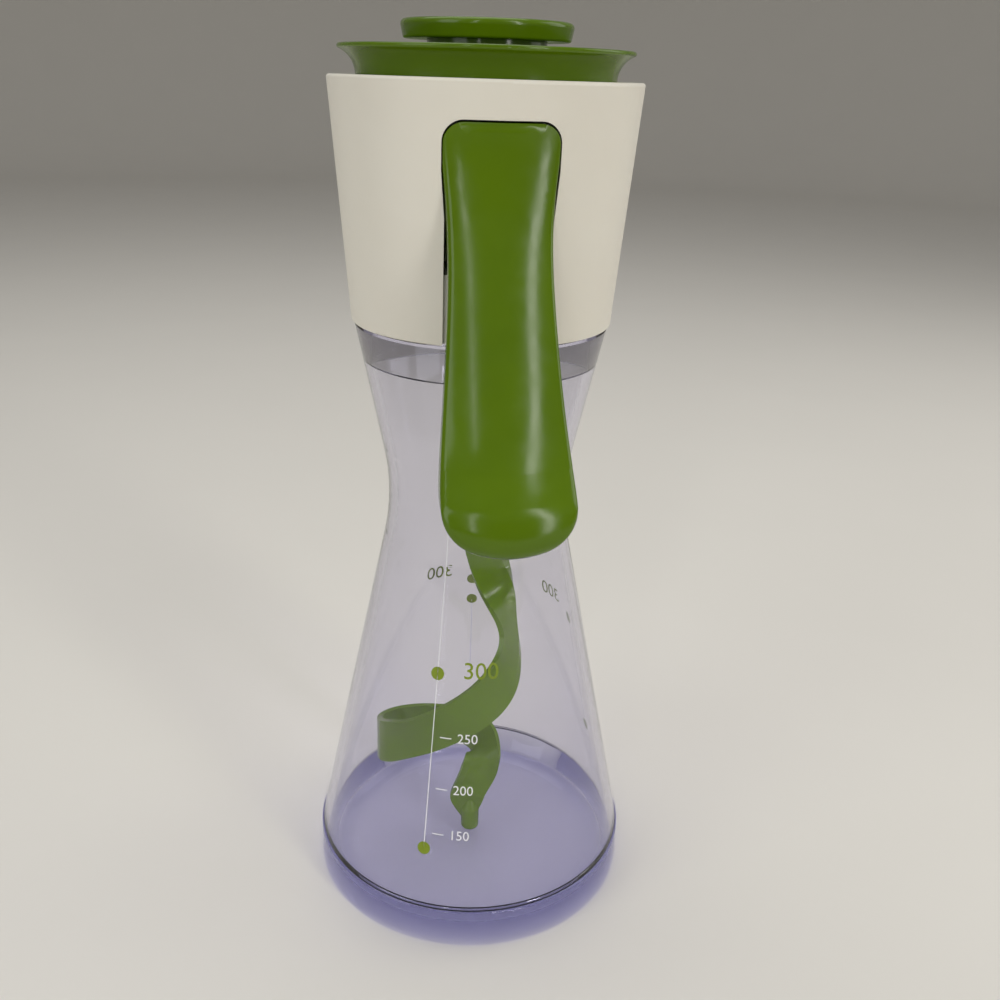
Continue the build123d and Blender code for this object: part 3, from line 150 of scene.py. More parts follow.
class Bench:
    """A material's node tree, with short calls for the nodes that the finishes share."""

    # Sockets of the node that mixes two colours.
    MIX_SHARE, MIX_FIRST, MIX_SECOND, MIX_RESULT = 0, 6, 7, 2

    def __init__(self, name: str) -> None:
        """Start an empty material with a Principled shader on its output.

        Args:
            name: Name of the material.
        """
        self.material = bpy.data.materials.new(name)
        self.material.use_nodes = True
        self.tree = self.material.node_tree
        self.tree.nodes.clear()
        self.output = self.tree.nodes.new("ShaderNodeOutputMaterial")
        self.shader = self.tree.nodes.new("ShaderNodeBsdfPrincipled")
        self.join(self.shader.outputs["BSDF"], self.output.inputs["Surface"])
        self.place = self.tree.nodes.new("ShaderNodeTexCoord").outputs["Object"]

    def join(self, source: bpy.types.NodeSocket, target: bpy.types.NodeSocket) -> None:
        """Link two sockets."""
        self.tree.links.new(source, target)

    def feed(self, source: bpy.types.NodeSocket, socket: str) -> None:
        """Link a value to one of the shader's sockets."""
        self.join(source, self.shader.inputs[socket])

    def fix(self, socket: str, value: float | Colour) -> None:
        """Set one of the shader's own sockets."""
        self.shader.inputs[socket].default_value = value

    def stretched(self, scale: Place) -> bpy.types.NodeSocket:
        """Object coordinates stretched along the axes.

        Args:
            scale: Factor along each axis.

        Returns:
            The stretched coordinates.
        """
        mapping = self.tree.nodes.new("ShaderNodeMapping")
        mapping.inputs["Scale"].default_value = scale
        self.join(self.place, mapping.inputs["Vector"])
        return mapping.outputs["Vector"]

    def noise(self, cloud: Cloud, stretch: Place | None = None) -> bpy.types.NodeSocket:
        """Cloudy noise in object coordinates.

        Args:
            cloud: How fine the noise is.
            stretch: Factor along each axis, where it is drawn out.

        Returns:
            The noise, from 0 to 1.
        """
        node = self.tree.nodes.new("ShaderNodeTexNoise")
        node.inputs["Scale"].default_value = cloud.scale
        node.inputs["Detail"].default_value = cloud.detail
        self.join(self.stretched(stretch) if stretch else self.place, node.inputs["Vector"])
        return node.outputs["Fac"]

    def span(
        self, value: bpy.types.NodeSocket, results: Range, edges: Range = WHOLE
    ) -> bpy.types.NodeSocket:
        """Map a value from one range to another, clamped.

        Args:
            value: The value to map.
            results: Lowest and highest result.
            edges: The values that give them.

        Returns:
            The mapped value.
        """
        node = self.tree.nodes.new("ShaderNodeMapRange")
        for side, edge, result in zip(("Min", "Max"), edges, results):
            node.inputs[f"From {side}"].default_value = edge
            node.inputs[f"To {side}"].default_value = result
        self.join(value, node.inputs["Value"])
        return node.outputs["Result"]

    def blend(
        self, share: bpy.types.NodeSocket, first: Colour, second: Colour
    ) -> bpy.types.NodeSocket:
        """Mix two colours.

        Args:
            share: Share of the second colour.
            first: Colour at 0.
            second: Colour at 1.

        Returns:
            The mixed colour.
        """
        node = self.tree.nodes.new("ShaderNodeMix")
        node.data_type = "RGBA"
        node.inputs[self.MIX_FIRST].default_value = (*first, 1)
        node.inputs[self.MIX_SECOND].default_value = (*second, 1)
        self.join(share, node.inputs[self.MIX_SHARE])
        return node.outputs[self.MIX_RESULT]

    def let_light_through(self, tint: Colour) -> None:
        """Cast the light shadow of clear plastic, which Cycles otherwise makes black.

        Args:
            tint: Colour of the light that gets through.
        """
        clear = self.tree.nodes.new("ShaderNodeBsdfTransparent")
        clear.inputs["Color"].default_value = (*tint, 1)
        ray = self.tree.nodes.new("ShaderNodeLightPath")
        choice = self.tree.nodes.new("ShaderNodeMixShader")
        share, plastic, shadow = choice.inputs
        self.join(ray.outputs["Is Shadow Ray"], share)
        self.join(self.shader.outputs["BSDF"], plastic)
        self.join(clear.outputs["BSDF"], shadow)
        self.join(choice.outputs["Shader"], self.output.inputs["Surface"])

    def tint_through(self, tint: Colour, density: float) -> None:
        """Let the plastic take light away along its depth.

        Args:
            tint: Colour that deep plastic turns.
            density: Strength of the tint, per metre.
        """
        depth = self.tree.nodes.new("ShaderNodeVolumeAbsorption")
        depth.inputs["Color"].default_value = (*tint, 1)
        depth.inputs["Density"].default_value = density
        self.join(depth.outputs["Volume"], self.output.inputs["Volume"])

    def bump(self, height: bpy.types.NodeSocket, depth: float) -> None:
        """Raise the surface by a height, over any relief that it already has.

        Args:
            height: Height from 0 to 1.
            depth: Metres at a height of 1.
        """
        node = self.tree.nodes.new("ShaderNodeBump")
        node.inputs["Strength"].default_value = 1.0
        node.inputs["Distance"].default_value = depth
        self.join(height, node.inputs["Height"])
        before = self.shader.inputs["Normal"]
        if before.is_linked:
            self.join(before.links[0].from_socket, node.inputs["Normal"])
        self.join(node.outputs["Normal"], before)


@dataclass(frozen=True)
class GlossyPlastic:
    """Coloured moulded plastic with a high gloss and a faint ripple."""

    name: str
    colour: Colour
    shade: Colour
    clouds: Cloud = Cloud(35.0, 3.0, (0.35, 0.7))
    wear: Cloud = Cloud(260.0, 4.0, (0.3, 0.75))
    ripple: Cloud = Cloud(70.0, 1.0)
    grain: Cloud = Cloud(2600.0, 2.0)
    roughness: Range = (0.13, 0.22)
    light_bend: float = 1.49
    gloss: float = 0.32
    glow: float = 0.04
    glow_reach: Colour = (0.0015, 0.002, 0.0005)
    ripple_depth: float = 0.00006
    grain_depth: float = 0.000004

    def make(self) -> bpy.types.Material:
        """Build the material.

        Returns:
            The material.
        """
        bench = Bench(self.name)
        share = bench.span(bench.noise(self.clouds), WHOLE, self.clouds.edges)
        bench.feed(bench.blend(share, self.colour, self.shade), "Base Color")
        bench.feed(bench.span(bench.noise(self.wear), self.roughness, self.wear.edges), "Roughness")
        bench.fix("IOR", self.light_bend)
        bench.fix("Specular IOR Level", self.gloss)
        bench.fix("Subsurface Weight", self.glow)
        bench.fix("Subsurface Radius", self.glow_reach)
        bench.bump(bench.noise(self.ripple), self.ripple_depth)
        bench.bump(bench.noise(self.grain), self.grain_depth)
        return bench.material


@dataclass(frozen=True)
class SatinPlastic:
    """Pale moulded plastic with a fine satin grain."""

    name: str
    colour: Colour
    shade: Colour
    clouds: Cloud = Cloud(22.0, 4.0, (0.3, 0.75))
    wear: Cloud = Cloud(420.0, 4.0, (0.3, 0.7))
    grain: Cloud = Cloud(5200.0, 2.0)
    ripple: Cloud = Cloud(60.0, 1.0)
    roughness: Range = (0.42, 0.52)
    light_bend: float = 1.48
    glow: float = 0.08
    glow_reach: Colour = (0.003, 0.0025, 0.002)
    grain_depth: float = 0.00001
    ripple_depth: float = 0.00004

    def make(self) -> bpy.types.Material:
        """Build the material.

        Returns:
            The material.
        """
        bench = Bench(self.name)
        share = bench.span(bench.noise(self.clouds), WHOLE, self.clouds.edges)
        bench.feed(bench.blend(share, self.colour, self.shade), "Base Color")
        bench.feed(bench.span(bench.noise(self.wear), self.roughness, self.wear.edges), "Roughness")
        bench.fix("IOR", self.light_bend)
        bench.fix("Subsurface Weight", self.glow)
        bench.fix("Subsurface Radius", self.glow_reach)
        bench.bump(bench.noise(self.grain), self.grain_depth)
        bench.bump(bench.noise(self.ripple), self.ripple_depth)
        return bench.material


@dataclass(frozen=True)
class ClearPlastic:
    """See-through moulded plastic, tinted through its depth, with ripples and handling haze."""

    name: str
    tint: Colour
    depth_tint: Colour
    density: float
    shadow: Colour
    roughness: Range = (0.0, 0.05)
    clouds: Cloud = Cloud(30.0, 2.0)
    cloud_share: float = 0.97
    haze: Cloud = Cloud(48.0, 5.0, (0.5, 0.75))
    ripple: Cloud = Cloud(42.0, 1.0)
    ripple_stretch: Place = (1.0, 1.0, 0.25)
    ripple_depth: float = 0.00014
    light_bend: float = 1.46

    def make(self) -> bpy.types.Material:
        """Build the material.

        Returns:
            The material.
        """
        bench = Bench(self.name)
        cloudy = darker(self.tint, self.cloud_share)
        bench.feed(bench.blend(bench.noise(self.clouds), self.tint, cloudy), "Base Color")
        bench.fix("Transmission Weight", 1.0)
        bench.fix("IOR", self.light_bend)
        bench.feed(bench.span(bench.noise(self.haze), self.roughness, self.haze.edges), "Roughness")
        bench.bump(bench.noise(self.ripple, self.ripple_stretch), self.ripple_depth)
        bench.let_light_through(self.shadow)
        bench.tint_through(self.depth_tint, self.density)
        return bench.material


@dataclass(frozen=True)
class GroundSteel:
    """Ground steel with fine lines round or along the pin."""

    name: str
    colour: Colour
    line_stretch: Place
    lines: Cloud = Cloud(900.0, 3.0)
    line_share: float = 0.8
    roughness: Range = (0.22, 0.4)
    line_depth: float = 0.000004

    def make(self) -> bpy.types.Material:
        """Build the material.

        Returns:
            The material.
        """
        bench = Bench(self.name)
        lines = bench.noise(self.lines, self.line_stretch)
        lined = darker(self.colour, self.line_share)
        bench.feed(bench.blend(lines, self.colour, lined), "Base Color")
        bench.fix("Metallic", 1.0)
        bench.feed(bench.span(lines, self.roughness), "Roughness")
        bench.bump(lines, self.line_depth)
        return bench.material


@dataclass(frozen=True)
class SoftSilicone:
    """Milky silicone with a soft, slightly dusty skin."""

    name: str
    colour: Colour
    dust_colour: Colour = (0.9, 0.9, 0.88)
    dust: Cloud = Cloud(700.0, 4.0, (0.45, 0.8))
    roughness: Range = (0.45, 0.65)
    glow: float = 0.3
    glow_reach: Colour = (0.002, 0.002, 0.002)
    dust_depth: float = 0.000008

    def make(self) -> bpy.types.Material:
        """Build the material.

        Returns:
            The material.
        """
        bench = Bench(self.name)
        dust = bench.noise(self.dust)
        share = bench.span(dust, WHOLE, self.dust.edges)
        bench.feed(bench.blend(share, self.colour, self.dust_colour), "Base Color")
        bench.feed(bench.span(dust, self.roughness), "Roughness")
        bench.fix("Subsurface Weight", self.glow)
        bench.fix("Subsurface Radius", self.glow_reach)
        bench.bump(dust, self.dust_depth)
        return bench.material


@dataclass(frozen=True)
class PrintInk:
    """Screen ink on the bottle, with the faint unevenness of a print."""

    name: str
    colour: Colour
    patches: Cloud = Cloud(1500.0, 3.0)
    patch_share: float = 0.86
    roughness: Range = (0.37, 0.53)
    patch_depth: float = 0.000005

    def make(self) -> bpy.types.Material:
        """Build the material.

        Returns:
            The material.
        """
        bench = Bench(self.name)
        patches = bench.noise(self.patches)
        patchy = darker(self.colour, self.patch_share)
        bench.feed(bench.blend(patches, self.colour, patchy), "Base Color")
        bench.feed(bench.span(patches, self.roughness), "Roughness")
        bench.bump(patches, self.patch_depth)
        return bench.material


@dataclass(frozen=True)
class PaleFloor:
    """Matt pale floor with faint clouds."""

    name: str
    colour: Colour
    clouds: Cloud = Cloud(12.0, 4.0)
    cloud_share: float = 0.97
    roughness: float = 0.85

    def make(self) -> bpy.types.Material:
        """Build the material.

        Returns:
            The material.
        """
        bench = Bench(self.name)
        cloudy = darker(self.colour, self.cloud_share)
        bench.feed(bench.blend(bench.noise(self.clouds), self.colour, cloudy), "Base Color")
        bench.fix("Roughness", self.roughness)
        return bench.material


GREEN = linear(84, 112, 0)
GREEN_SHADE = linear(77, 104, 0)
CREAM = linear(224, 220, 208)
CREAM_SHADE = linear(218, 213, 200)
INNER_WHITE = linear(232, 232, 228)
INNER_SHADE = linear(222, 222, 219)
GEAR_IVORY = linear(240, 237, 226)
GEAR_SHADE = linear(232, 228, 214)
STEEL_GREY = (0.62, 0.62, 0.63)
SILICONE_WHITE = (0.8, 0.8, 0.77)
WALL_TINT = (0.955, 0.952, 0.975)
FOOT_TINT = (0.95, 0.948, 0.975)
DEEP_LILAC = (0.47, 0.45, 0.74)
DEEP_VIOLET = (0.38, 0.38, 0.68)
WALL_SHADOW = (0.955, 0.95, 0.97)
FOOT_SHADOW = (0.88, 0.878, 0.9)

FINISHES = {
    "green": GlossyPlastic("green_gloss", GREEN, GREEN_SHADE),
    "cream": SatinPlastic("cream_satin", CREAM, CREAM_SHADE),
    "clear_tinted": ClearPlastic("clear_lilac", WALL_TINT, DEEP_LILAC, density=56.0,
                                 shadow=WALL_SHADOW),
    "foot_tinted": ClearPlastic("clear_violet", FOOT_TINT, DEEP_VIOLET, density=98.0,
                                shadow=FOOT_SHADOW, roughness=(0.01, 0.08)),
    "inner_white": SatinPlastic("inner_white", INNER_WHITE, INNER_SHADE),
    "gear_plastic": SatinPlastic("gear_natural", GEAR_IVORY, GEAR_SHADE),
    "steel": GroundSteel("ground_steel", STEEL_GREY, line_stretch=(1.0, 1.0, 14.0)),
    "clear_silicone": SoftSilicone("milky_silicone", SILICONE_WHITE),
}
GREEN_INK = PrintInk("green_ink", linear(126, 146, 14))
WHITE_INK = PrintInk("white_ink", linear(238, 238, 240))


def dress_frame() -> dict[str, bpy.types.Material]:
    """Give every frame node the finish of its slot.

    Returns:
        The finished materials by slot.
    """
    made = {slot: finish.make() for slot, finish in FINISHES.items()}
    for entry in frame["record"]["subparts"]:
        node = frame["nodes"][entry["node"]]
        node.data.materials.clear()
        node.data.materials.append(made[entry["material_slot"]])
        log.info("%s wears %s", entry["node"], entry["material_slot"])
    return made


def search_tree(node: str) -> BVHTree:
    """Make a search tree of a node's mesh.

    Args:
        node: Name of the node.

    Returns:
        The tree.
    """
    mesh = frame["nodes"][node].data
    return BVHTree.FromPolygons(
        [v.co.copy() for v in mesh.vertices], [tuple(p.vertices) for p in mesh.polygons]
    )


@dataclass
class LeverShell:
    """The squeeze lever, whose moulded skin runs on round its tip as a closed, round nose."""

    material: bpy.types.Material
    weld: float = 0.001 * MM
    cut: float = 143.0 * MM
    overlap: float = 0.6 * MM
    tuck: float = 0.05 * MM
    rim_inset: float = 0.4 * MM
    inset_rows: int = 3
    nose_start: float = 136.5 * MM
    nose_foot: float = 125.9 * MM
    wall: float = 1.7 * MM
    rows_above: int = 6
    nose_rows: int = 18
    columns: int = 64
    depth_power: float = 0.66
    sharp_angle: float = math.radians(32)
    far_ahead: float = 0.2
    far_aside: float = 0.06
    far_behind: float = 0.05
    behind_front: float = 5.0 * MM
    into_side: float = 0.7 * MM

    def __post_init__(self) -> None:
        """Make a search tree of the frame's lever."""
        self.tree = search_tree("squeeze_lever")

    def build(self) -> None:
        """Make the lever's two parts as one piece that stands for the frame's lever."""
        whole = bmesh.new()
        whole.from_mesh(frame["nodes"]["squeeze_lever"].data)
        self.trim(whole)
        self.add_nose(whole)
        bmesh.ops.recalc_face_normals(whole, faces=whole.faces)
        mesh = settle(whole, "lever_shell")
        mesh.polygons.foreach_set("use_smooth", [True] * len(mesh.polygons))
        mesh.set_sharp_from_angle(angle=self.sharp_angle)
        mesh.materials.append(self.material)
        piece = put("lever_shell", mesh)
        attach(piece, Body.LEVER.value)
        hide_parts("squeeze_lever")
        log.info("moulded lever_shell")

    def trim(self, body: bmesh.types.BMesh) -> None:
        """Cut the body off below the start of the nose, and close the cut.

        Args:
            body: Mesh of the lever.
        """
        bmesh.ops.remove_doubles(body, verts=body.verts, dist=self.weld)
        everything = body.verts[:] + body.edges[:] + body.faces[:]
        bmesh.ops.bisect_plane(body, geom=everything, dist=self.weld, plane_co=(0, 0, self.cut),
                               plane_no=(0, 0, 1), clear_inner=True)
        open_edges = [e for e in body.edges if e.is_boundary]
        bmesh.ops.edgeloop_fill(body, edges=open_edges)

    def hit(self, start: Vector, way: Vector) -> Vector:
        """First place where a line meets the frame's lever."""
        return self.tree.ray_cast(start, way)[0]

    def rim(self, height: float) -> float:
        """Find the sides' back edges, from the front face and the side just behind it.

        Args:
            height: Height of the slice.

        Returns:
            Place along Y of the edges.
        """
        front = self.hit(Vector((0, -self.far_ahead, height)), Vector((0, 1, 0))).y
        beside = Vector((self.far_aside, front + self.behind_front, height))
        side = self.hit(beside, Vector((-1, 0, 0))).x
        behind = Vector((side - self.into_side, self.far_behind, height))
        return self.hit(behind, Vector((0, -1, 0))).y

    def directions(self) -> list[Vector]:
        """Directions from the middle of the open back round the front to the other side."""
        turns = [math.pi * i / self.columns for i in range(self.columns + 1)]
        return [Vector((math.cos(t), -math.sin(t), 0)) for t in turns]

    def reach(self, height: float, rim: float) -> list[float]:
        """Distance of the skin in each direction, at a height where the frame's lever is full.

        Args:
            height: Height of the slice.
            rim: Place along Y of the slice's middle.

        Returns:
            One distance for each direction.
        """
        middle = Vector((0, rim, height))
        far = self.far_aside
        return [far - (self.hit(middle + way * far, -way) - middle - way * far).length
                for way in self.directions()]

    def add_nose(self, body: bmesh.types.BMesh) -> None:
        """Add the skin below the cut: slices of the lever, and then the round nose.

        Args:
            body: Mesh that the skin is added to.
        """
        top = self.cut + self.overlap
        start_rim = self.rim(self.nose_start) - self.rim_inset
        lean = (self.rim(top) - self.rim_inset - start_rim) / (top - self.nose_start)
        outer, inner = [], []
        for i in range(self.rows_above):
            z = top + (self.nose_start - top) * i / self.rows_above
            rim = self.rim(z) - self.rim_inset * min(1.0, (i + 1) / self.inset_rows)
            spans = self.reach(z, rim)
            outer.append(self.ring(z, rim, spans, 1.0, 1.0, 0.0 if i else self.tuck))
            inner.append(self.ring(z, rim, spans, 1.0, 1.0, self.wall))
        last = self.reach(self.nose_start, start_rim)
        drop = self.nose_start - self.nose_foot
        for i in range(self.nose_rows):
            turn = math.pi / 2 * i / self.nose_rows
            wide, deep = math.cos(turn), math.cos(turn) ** self.depth_power
            for rings, less in ((outer, 0.0), (inner, self.wall)):
                z = self.nose_start - (drop - less) * math.sin(turn)
                rim = start_rim - lean * (self.nose_start - z)
                rings.append(self.ring(z, rim, last, wide, deep, less))
        self.skin(body, outer, inner, start_rim, lean)

    def ring(self, z: float, rim: float, spans: list[float], wide: float, deep: float,
             less: float) -> list[Vector]:
        """Points of one slice.

        Args:
            z: Height of the slice.
            rim: Place along Y of its middle.
            spans: Distance of the skin in each direction, before it is drawn in.
            wide: Share of the width that is left.
            deep: Share of the depth that is left.
            less: Distance that the points lie inside the skin.

        Returns:
            The points, from one rim to the other.
        """
        return [
            Vector((way.x * (span - less) * wide, rim + way.y * (span - less) * deep, z))
            for way, span in zip(self.directions(), spans)
        ]

    def skin(self, body: bmesh.types.BMesh, outer: list[list[Vector]], inner: list[list[Vector]],
             rim: float, lean: float) -> None:
        """Join the outer and inner slices into one closed wall.

        Args:
            body: Mesh that the wall is added to.
            outer: Slices of the outside, from the top down.
            inner: Slices of the inside.
            rim: Place along Y of the nose's first slice.
            lean: How far the rim moves along Y for each unit of height.
        """
        layers = []
        for rings, less in ((outer, 0.0), (inner, self.wall)):
            foot = self.nose_foot + less
            pole = body.verts.new((0, rim - lean * (self.nose_start - foot), foot))
            layers.append(([[body.verts.new(point) for point in ring] for ring in rings], pole))
        for grid, pole in layers:
            for high, low in zip(grid, grid[1:]):
                for i in range(self.columns):
                    body.faces.new((high[i], high[i + 1], low[i + 1], low[i]))
            for i in range(self.columns):
                body.faces.new((grid[-1][i], grid[-1][i + 1], pole))
        (out, out_pole), (into, in_pole) = layers
        for side in (0, self.columns):
            edge_out = [row[side] for row in out] + [out_pole]
            edge_in = [row[side] for row in into] + [in_pole]
            for i in range(len(edge_out) - 1):
                body.faces.new((edge_out[i], edge_out[i + 1], edge_in[i + 1], edge_in[i]))
        for i in range(self.columns):
            body.faces.new((out[0][i], into[0][i], into[0][i + 1], out[0][i + 1]))


@dataclass
class WindingSpring:
    """The lever's return spring, as a still copy of the frame's spring. The real spring's leg on
    its still side stays with the head, and the one on its turning side goes with the lever.
    """

    material: bpy.types.Material
    still_side: float = -5.6 * MM
    turning_side: float = -2.4 * MM

    def build(self) -> None:
        """Put a copy of the frame's spring in the scene, and hide the frame's spring."""
        mesh = frame["nodes"]["lever_spring"].data.copy()
        mesh.materials.clear()
        mesh.materials.append(self.material)
        piece = put("winding_spring", mesh)
        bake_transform(piece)
        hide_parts("lever_spring")
        log.info("wound winding_spring")


@dataclass
class WallSurface:
    """The bottle's wall, read from its node, as the ground for its prints."""

    slice_height: float = 0.5 * MM
    off_edge: float = 0.003

    def __post_init__(self) -> None:
        """Make a search tree of the wall's mesh."""
        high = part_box("bottle_wall")[1]
        self.far = max(high.x, high.y) * 2
        self.tree = search_tree("bottle_wall")

    def radius(self, height: float, azimuth: float) -> float:
        """Distance of the wall's outside from the axis.

        Args:
            height: Height over the foot.
            azimuth: Direction round the axis, in radians.

        Returns:
            The radius in metres.
        """
        out = Vector((math.cos(azimuth), math.sin(azimuth), 0))
        start = out * self.far + Vector((0, 0, height))
        hit = self.tree.ray_cast(start, -out)[0]
        return Vector((hit.x, hit.y)).length

    def bore(self, height: float) -> float:
        """Radius of the bottle's inside at a height, found a little off the mesh's edges.

        Args:
            height: Height over the foot.

        Returns:
            The radius in metres.
        """
        hit = self.tree.ray_cast(Vector((0, 0, height)), Vector((1, self.off_edge, 0)))[0]
        return Vector((hit.x, hit.y)).length

    def levels(self, volumes: list[float], floor: float) -> list[float]:
        """Heights to which given volumes fill the bottle.

        Args:
            volumes: Rising volumes in cubic metres.
            floor: Height of the inside floor.

        Returns:
            One height for each volume.
        """
        step = self.slice_height
        heights = []
        total = 0.0
        height = floor
        wall_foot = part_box("bottle_base")[1].z + step
        for volume in volumes:
            while total < volume:
                total += math.pi * self.bore(max(height, wall_foot)) ** 2 * step
                height += step
            heights.append(height)
        return heights


@dataclass
class ScalePrint:
    """Plain measuring scale printed on the wall: a line, its dots, ticks and numbers."""

    wall: WallSurface
    green: bpy.types.Material
    white: bpy.types.Material
    ink_gap: float = 0.02 * MM
    ink_depth: float = 0.05 * MM
    dot_radius: float = 1.75 * MM
    line_half: float = 0.13 * MM
    tick_start: float = 2.0 * MM
    tick_length: float = 3.0 * MM
    number_start: float = 6.5 * MM
    number_size: float = 3.6 * MM
    largest_size: float = 6.2 * MM
    dot_rings: int = 4
    dot_sides: int = 40
    line_cells: tuple[int, int] = (1, 60)
    tick_cells: tuple[int, int] = (6, 1)
    curve_steps: int = 4
    edge_parts: int = 3
    edge_cuts: int = 2

    def wrap(self, flat: bmesh.types.BMesh, name: str, azimuth: float, height: float,
             ink: bpy.types.Material) -> None:
        """Lay a flat drawing on the wall and give it the depth of a print.

        Args:
            flat: Drawing in metres, with X round the wall and Y up it.
            name: Name of the piece.
            azimuth: Direction of the drawing's zero, in radians.
            height: Height of the drawing's zero.
            ink: Material of the print.
        """
        base = self.wall.radius(height, azimuth)
        raised = bmesh.ops.extrude_face_region(flat, geom=flat.faces[:])["geom"]
        top = {v for v in raised if isinstance(v, bmesh.types.BMVert)}
        for vert in flat.verts:
            level = height + vert.co.y
            turn = azimuth + vert.co.x / base
            lift = self.ink_gap + (self.ink_depth if vert in top else 0)
            radius = self.wall.radius(level, turn) + lift
            vert.co = Vector((radius * math.cos(turn), radius * math.sin(turn), level))
        bmesh.ops.recalc_face_normals(flat, faces=flat.faces)
        mesh = settle(flat, name)
        mesh.materials.append(ink)
        piece = put(name, mesh)
        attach(piece, Body.BOTTLE.value)
        log.info("printed %s", name)

    def dot(self, name: str, azimuth: float, height: float) -> None:
        """Print a round green dot.

        Args:
            name: Name of the piece.
            azimuth: Direction of its middle, in radians.
            height: Height of its middle.
        """
        flat = bmesh.new()
        sides = self.dot_sides
        turns = [2 * math.pi * i / sides for i in range(sides)]
        centre = flat.verts.new((0, 0, 0))
        previous: list[bmesh.types.BMVert] = []
        for ring in range(1, self.dot_rings + 1):
            radius = self.dot_radius * ring / self.dot_rings
            now = [flat.verts.new((radius * math.cos(t), radius * math.sin(t), 0)) for t in turns]
            for i in range(sides):
                j = (i + 1) % sides
                if previous:
                    flat.faces.new((previous[i], now[i], now[j], previous[j]))
                else:
                    flat.faces.new((centre, now[i], now[j]))
            previous = now
        self.wrap(flat, name, azimuth, height, self.green)

    def bar(self, name: str, azimuth: float, height: float, size: tuple[float, float],
            cells: tuple[int, int]) -> None:
        """Print a thin white bar.

        Args:
            name: Name of the piece.
            azimuth: Direction of its left edge, in radians.
            height: Height of its foot.
            size: Width and height.
            cells: Divisions across and up, so that it follows the wall.
        """
        flat = bmesh.new()
        (width, rise), (across, up) = size, cells
        rows = [
            [flat.verts.new((width * i / across, rise * j / up, 0)) for i in range(across + 1)]
            for j in range(up + 1)
        ]
        for low, high in zip(rows, rows[1:]):
            for i in range(across):
                flat.faces.new((low[i], low[i + 1], high[i + 1], high[i]))
        self.wrap(flat, name, azimuth, height, self.white)

    def number(self, name: str, text: str, azimuth: float, height: float, size: float,
               ink: bpy.types.Material) -> None:
        """Print a plain number.

        Args:
            name: Name of the piece.
            text: The figures.
            azimuth: Direction of the left edge, in radians.
            height: Height of the figures' middle.
            size: Height of the type.
            ink: Material of the print.
        """
        curve = bpy.data.curves.new(name, "FONT")
        curve.body = text
        curve.size = size
        curve.align_y = "CENTER"
        curve.resolution_u = self.curve_steps
        figures = put(name + "_type", curve)
        bpy.context.view_layer.update()
        drawn = bpy.data.meshes.new_from_object(figures)
        bpy.data.objects.remove(figures)
        bpy.data.curves.remove(curve)
        flat = bmesh.new()
        flat.from_mesh(drawn)
        bpy.data.meshes.remove(drawn)
        long_edges = [e for e in flat.edges if e.calc_length() > size / self.edge_parts]
        bmesh.ops.subdivide_edges(flat, edges=long_edges, cuts=self.edge_cuts, use_grid_fill=True)
        self.wrap(flat, name, azimuth, height, ink)

    def scale(self, plan: "ScalePlan", marks: dict[int, float]) -> None:
        """Print a whole scale: the line up the wall, its dots, and its ticks and numbers.

        Args:
            plan: Where the scale stands and what it has.
            marks: Height of each volume in millilitres.
        """
        name, azimuth = plan.name, plan.azimuth
        foot, top = plan.line
        thick = 2 * self.line_half
        half_turn = self.line_half / self.wall.radius(foot, azimuth)
        self.bar(name + "_line", azimuth - half_turn, foot, (thick, top - foot), self.line_cells)
        for i, height in enumerate(plan.dots):
            self.dot(f"{name}_dot_{i}", azimuth, height)
        for volume in plan.volumes:
            height = marks[volume]
            radius = self.wall.radius(height, azimuth)
            if volume == max(plan.volumes):
                size, ink = self.largest_size, self.green
            else:
                size, ink = self.number_size, self.white
                self.bar(f"{name}_tick_{volume}", azimuth + self.tick_start / radius,
                         height - self.line_half, (self.tick_length, thick), self.tick_cells)
            self.number(f"{name}_number_{volume}", str(volume),
                        azimuth + self.number_start / radius, height, size, ink)


@dataclass(frozen=True)
class ScalePlan:
    """Place of one scale round the bottle, the run of its line, its dots and its numbers."""

    name: str
    azimuth: float
    line: tuple[float, float]
    dots: tuple[float, ...]
    volumes: tuple[int, ...]


@dataclass
class Bottle:
    """The bottle's prints: a numbered scale in front and two shorter ones round the back."""

    floor: float = 3.2 * MM
    plans: tuple[ScalePlan, ...] = (
        ScalePlan("front", math.radians(-113.3), line=(28.2 * MM, 128.0 * MM),
                  dots=(28.2 * MM, 76.0 * MM), volumes=(150, 200, 250, 300)),
        ScalePlan("back", math.radians(85.6), line=(36.0 * MM, 66.0 * MM),
                  dots=(66.0 * MM, 73.8 * MM), volumes=(300,)),
        ScalePlan("side", math.radians(8.0), line=(36.0 * MM, 73.8 * MM),
                  dots=(36.0 * MM, 73.8 * MM), volumes=(300,)),
    )

    def build(self) -> None:
        """Print the scales on the wall."""
        wall = WallSurface()
        prints = ScalePrint(wall, GREEN_INK.make(), WHITE_INK.make())
        volumes = sorted({volume for plan in self.plans for volume in plan.volumes})
        heights = wall.levels([volume * MILLILITRE for volume in volumes], self.floor)
        marks = dict(zip(volumes, heights))
        for plan in self.plans:
            prints.scale(plan, marks)


@dataclass(frozen=True)
class Lamp:
    """A soft rectangular lamp: where it hangs, its width and height, its watts and its colour."""

    name: str
    place: Place
    size: tuple[float, float]
    power: float
    colour: Colour

    def hang(self, aim: Place) -> None:
        """Hang the lamp.

        Args:
            aim: What it points at, in metres.
        """
        light = bpy.data.lights.new(self.name, "AREA")
        light.shape = "RECTANGLE"
        light.size, light.size_y = self.size
        light.energy = self.power
        light.color = self.colour
        way = Vector(aim) - Vector(self.place)
        turn = way.to_track_quat("-Z", "Y").to_matrix().to_4x4()
        put(self.name, light).matrix_world = Matrix.Translation(self.place) @ turn


